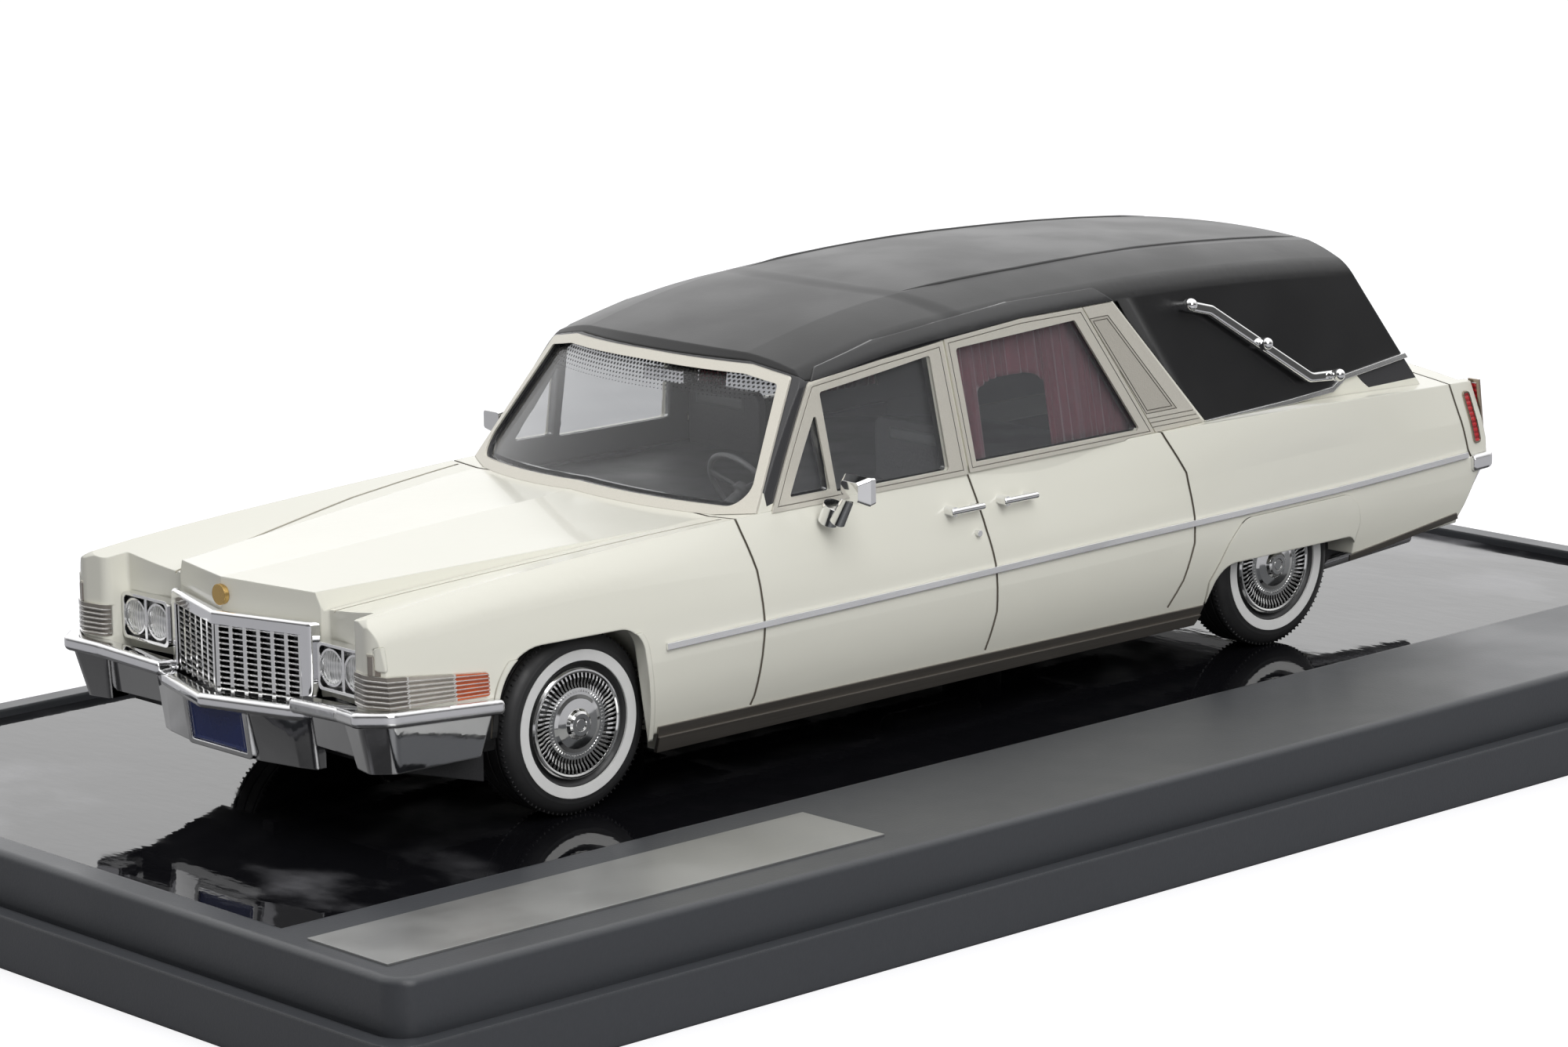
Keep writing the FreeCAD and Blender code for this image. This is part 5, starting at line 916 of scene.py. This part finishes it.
# ---- Handles, mirrors and landau bars ------------------------------
# Plated castings pinned into the body: pull handles with locks, mirrors on a stem and
# foot, and the S-shaped bars with their three ball knobs.
fitting = plated("fitting_bright", (0.89, 0.89, 0.89), 0.03, wash_and_shade=0.6, rounding=0.06, reach=0.4)
finished(fitting, "door_handles", "door_mirrors", "landau_bars")

# ---- Tail lamps ----------------------------------------------------
# Red ribbed lenses at the fins' ends and sides, in thin frames of brownish plate. The ribs
# lie level.
TAIL_RIB_PITCH = 0.55
bronze = plated("tail_frame", (0.46, 0.39, 0.32), 0.10, wash_and_shade=0.6, rounding=0.05, reach=0.4)
finished(bronze, "tail_lamp_bezels")

ruby = Paint("ruby_lens", (0.50, 0.012, 0.018), 0.1, coat_weight=0.8, coat_roughness=0.03)
ribs = ruby.axes(ROAD)[2].waves(TAIL_RIB_PITCH)
ruby.tones(ribs, (0.30, 0.006, 0.010), (0.62, 0.020, 0.026))
ruby.gloss(0.8, 0.07, 0.16)
ruby.relief(ribs, 0.05, rounding_mm=0.06)
finished(ruby, "tail_lamp_lenses")


# ---- Tyres and whitewalls ------------------------------------------
# Soft black tyres with a let-in white band, moulded rings on the wall and small lugs round
# both shoulders of the tread. A ring of lugs is laid on both wheels of an axle at once.
def ring_tree(name):
    """Geometry Nodes: two rings of small blocks about an axle, one at each wheel."""
    tree = bpy.data.node_groups.new(name, "GeometryNodeTree")
    sockets = {}
    for label, kind in (("Count", "Int"), ("Radius", "Float"), ("Hub", "Vector"),
                        ("Outboard", "Float"), ("Block", "Vector"), ("Unevenness", "Float"),
                        ("Seed", "Int"), ("Finish", "Material")):
        made = tree.interface.new_socket(label, in_out="INPUT",
                                         socket_type="NodeSocket" + kind)
        sockets[label] = made.identifier
    tree.interface.new_socket("Geometry", in_out="OUTPUT", socket_type="NodeSocketGeometry")
    given = tree.nodes.new("NodeGroupInput").outputs
    result = tree.nodes.new("NodeGroupOutput")

    def add(kind, settings=(), output=0, **links):
        made = tree.nodes.new(kind)
        for key, value in dict(settings).items():
            setattr(made, key, value)
        for key, value in links.items():
            target = made.inputs[int(key[1:])] if key[0] == "_" else made.inputs[key]
            if isinstance(value, bpy.types.NodeSocket):
                tree.links.new(value, target)
            else:
                target.default_value = value
        return made.outputs[output]

    def maths(operation, a, b=0.0):
        return add("ShaderNodeMath", {"operation": operation}, _0=a, _1=b)

    index = add("GeometryNodeInputIndex")
    even = maths("MULTIPLY", maths("DIVIDE", index, given["Count"]), 2 * math.pi)
    drift = add("FunctionNodeRandomValue", {"data_type": "FLOAT"}, output=1, _2=-1.0, _3=1.0,
                ID=index, Seed=given["Seed"])
    turn = maths("ADD", even, maths("MULTIPLY", drift, given["Unevenness"]))
    both = tree.nodes.new("GeometryNodeJoinGeometry")
    for side in (1.0, -1.0):
        points = add("GeometryNodePoints", _0=given["Count"])
        spot = add("ShaderNodeCombineXYZ", _0=maths("MULTIPLY", given["Outboard"], side),
                   _1=maths("MULTIPLY", maths("COSINE", turn), given["Radius"]),
                   _2=maths("MULTIPLY", maths("SINE", turn), given["Radius"]))
        placed = add("ShaderNodeVectorMath", {"operation": "ADD"}, _0=spot, _1=given["Hub"])
        ring = add("GeometryNodeSetPosition", Geometry=points, Position=placed)
        block = add("GeometryNodeMeshCube", Size=given["Block"])
        blocks = add("GeometryNodeInstanceOnPoints", Points=ring, Instance=block,
                     Rotation=add("ShaderNodeCombineXYZ", _0=turn))
        tree.links.new(blocks, both.inputs[0])
    real = add("GeometryNodeRealizeInstances", _0=both.outputs[0])
    coloured = add("GeometryNodeSetMaterial", Geometry=real, Material=given["Finish"])
    tree.links.new(coloured, result.inputs[0])
    return tree, sockets


def ring_of_blocks(name, axle, body, slot, **sizes):
    """A pair of block rings about an axle, made a plain mesh that turns with its wheels."""
    tree, sockets = ring_tree(name)
    piece = bpy.data.objects.new(name, bpy.data.meshes.new(name))
    studio.collection.objects.link(piece)
    maker = piece.modifiers.new("ring", "NODES")
    maker.node_group = tree
    sizes["Hub"] = tuple(middle_of(axle))
    for label, value in sizes.items():
        maker[sockets[label]] = value
    made_plain(piece)
    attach(piece, body)


def outer_face(name):
    """Distance from the car's middle to the outer face of a pair of CAD pieces."""
    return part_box(name)[1].x - ROAD.x


WALL_RING_PITCH, WALL_EDGE = 0.42, (7.2, 7.5)        # rings on the wall, and where they end


def rubber_of(name, axle):
    """Black rubber with moulded rings about its own axle."""
    rubber = Paint(name, (0.017, 0.017, 0.018), 0.5)
    _, y, z = rubber.axes(middle_of(axle))
    radius = (y * y + z * z).root()
    wall = radius.ramp(*WALL_EDGE, 1.0, 0.0)
    rubber.tones(rubber.noise(2.5), (0.014, 0.014, 0.015), (0.024, 0.024, 0.025))
    rubber.gloss(1.5, 0.40, 0.58)
    rubber.relief(radius.waves(WALL_RING_PITCH) * wall + rubber.noise(0.2) * 0.3, 0.015,
                  rounding_mm=0.12)
    return rubber


LUG = (0.34 * MM, 0.30 * MM, 0.12 * MM)
LUGS, LUG_RADIUS = 96, 8.235
LUG_INSETS = (("outer", 0.80), ("inner", 4.60))      # from the tyre's outer wall
whiting = Paint("white_band", (0.84, 0.84, 0.83), 0.5)
whiting.tones(whiting.noise(1.6, detail=5.0), (0.78, 0.78, 0.77), (0.87, 0.87, 0.86))
whiting.gloss(2.0, 0.42, 0.58)
whiting.relief(whiting.noise(0.3), 0.01, rounding_mm=0.08)
for end in ("front", "rear"):
    rubber = rubber_of(end + "_rubber", end + "_axle")
    finished(rubber, end + "_tyres")
    finished(whiting, end + "_whitewalls")
    for place, inset in LUG_INSETS:
        ring_of_blocks(f"{end}_lugs_{place}", end + "_axle", end + "_wheelset", "tyre",
                       Count=LUGS, Radius=LUG_RADIUS * MM, Block=LUG,
                       Outboard=outer_face(end + "_tyres") - inset * MM,
                       Unevenness=0.003, Seed=3, Finish=rubber.material)

# ---- Wheels and covers ---------------------------------------------
# Dark steel wheels under plated turbine covers: rolled rim, raked vanes, a beaded inner
# ring, and a plain domed centre.
BEAD = (0.16 * MM, 0.2 * MM, 0.17 * MM)
BEADS, BEAD_RADIUS, BEAD_INSET = 60, 2.98, 0.64      # inset from the cover's outer face
iron = Paint("wheel_dark", (0.03, 0.03, 0.032), 0.5)
iron.tones(iron.noise(1.5), (0.022, 0.022, 0.024), (0.042, 0.042, 0.044))
iron.gloss(2.5, 0.4, 0.58)
iron.relief(iron.noise(0.4), 0.02, rounding_mm=0.15)
cover = plated("cover_bright", (0.88, 0.88, 0.87), 0.045, wash_and_shade=1.0, rounding=0.05, reach=0.8)
for end in ("front", "rear"):
    finished(iron, end + "_rims")
    finished(cover, end + "_hub_covers")
    ring_of_blocks(end + "_beads", end + "_axle", end + "_wheelset", "chrome",
                   Count=BEADS, Radius=BEAD_RADIUS * MM, Block=BEAD,
                   Outboard=outer_face(end + "_hub_covers") - BEAD_INSET * MM,
                   Unevenness=0.0, Seed=1, Finish=cover.material)
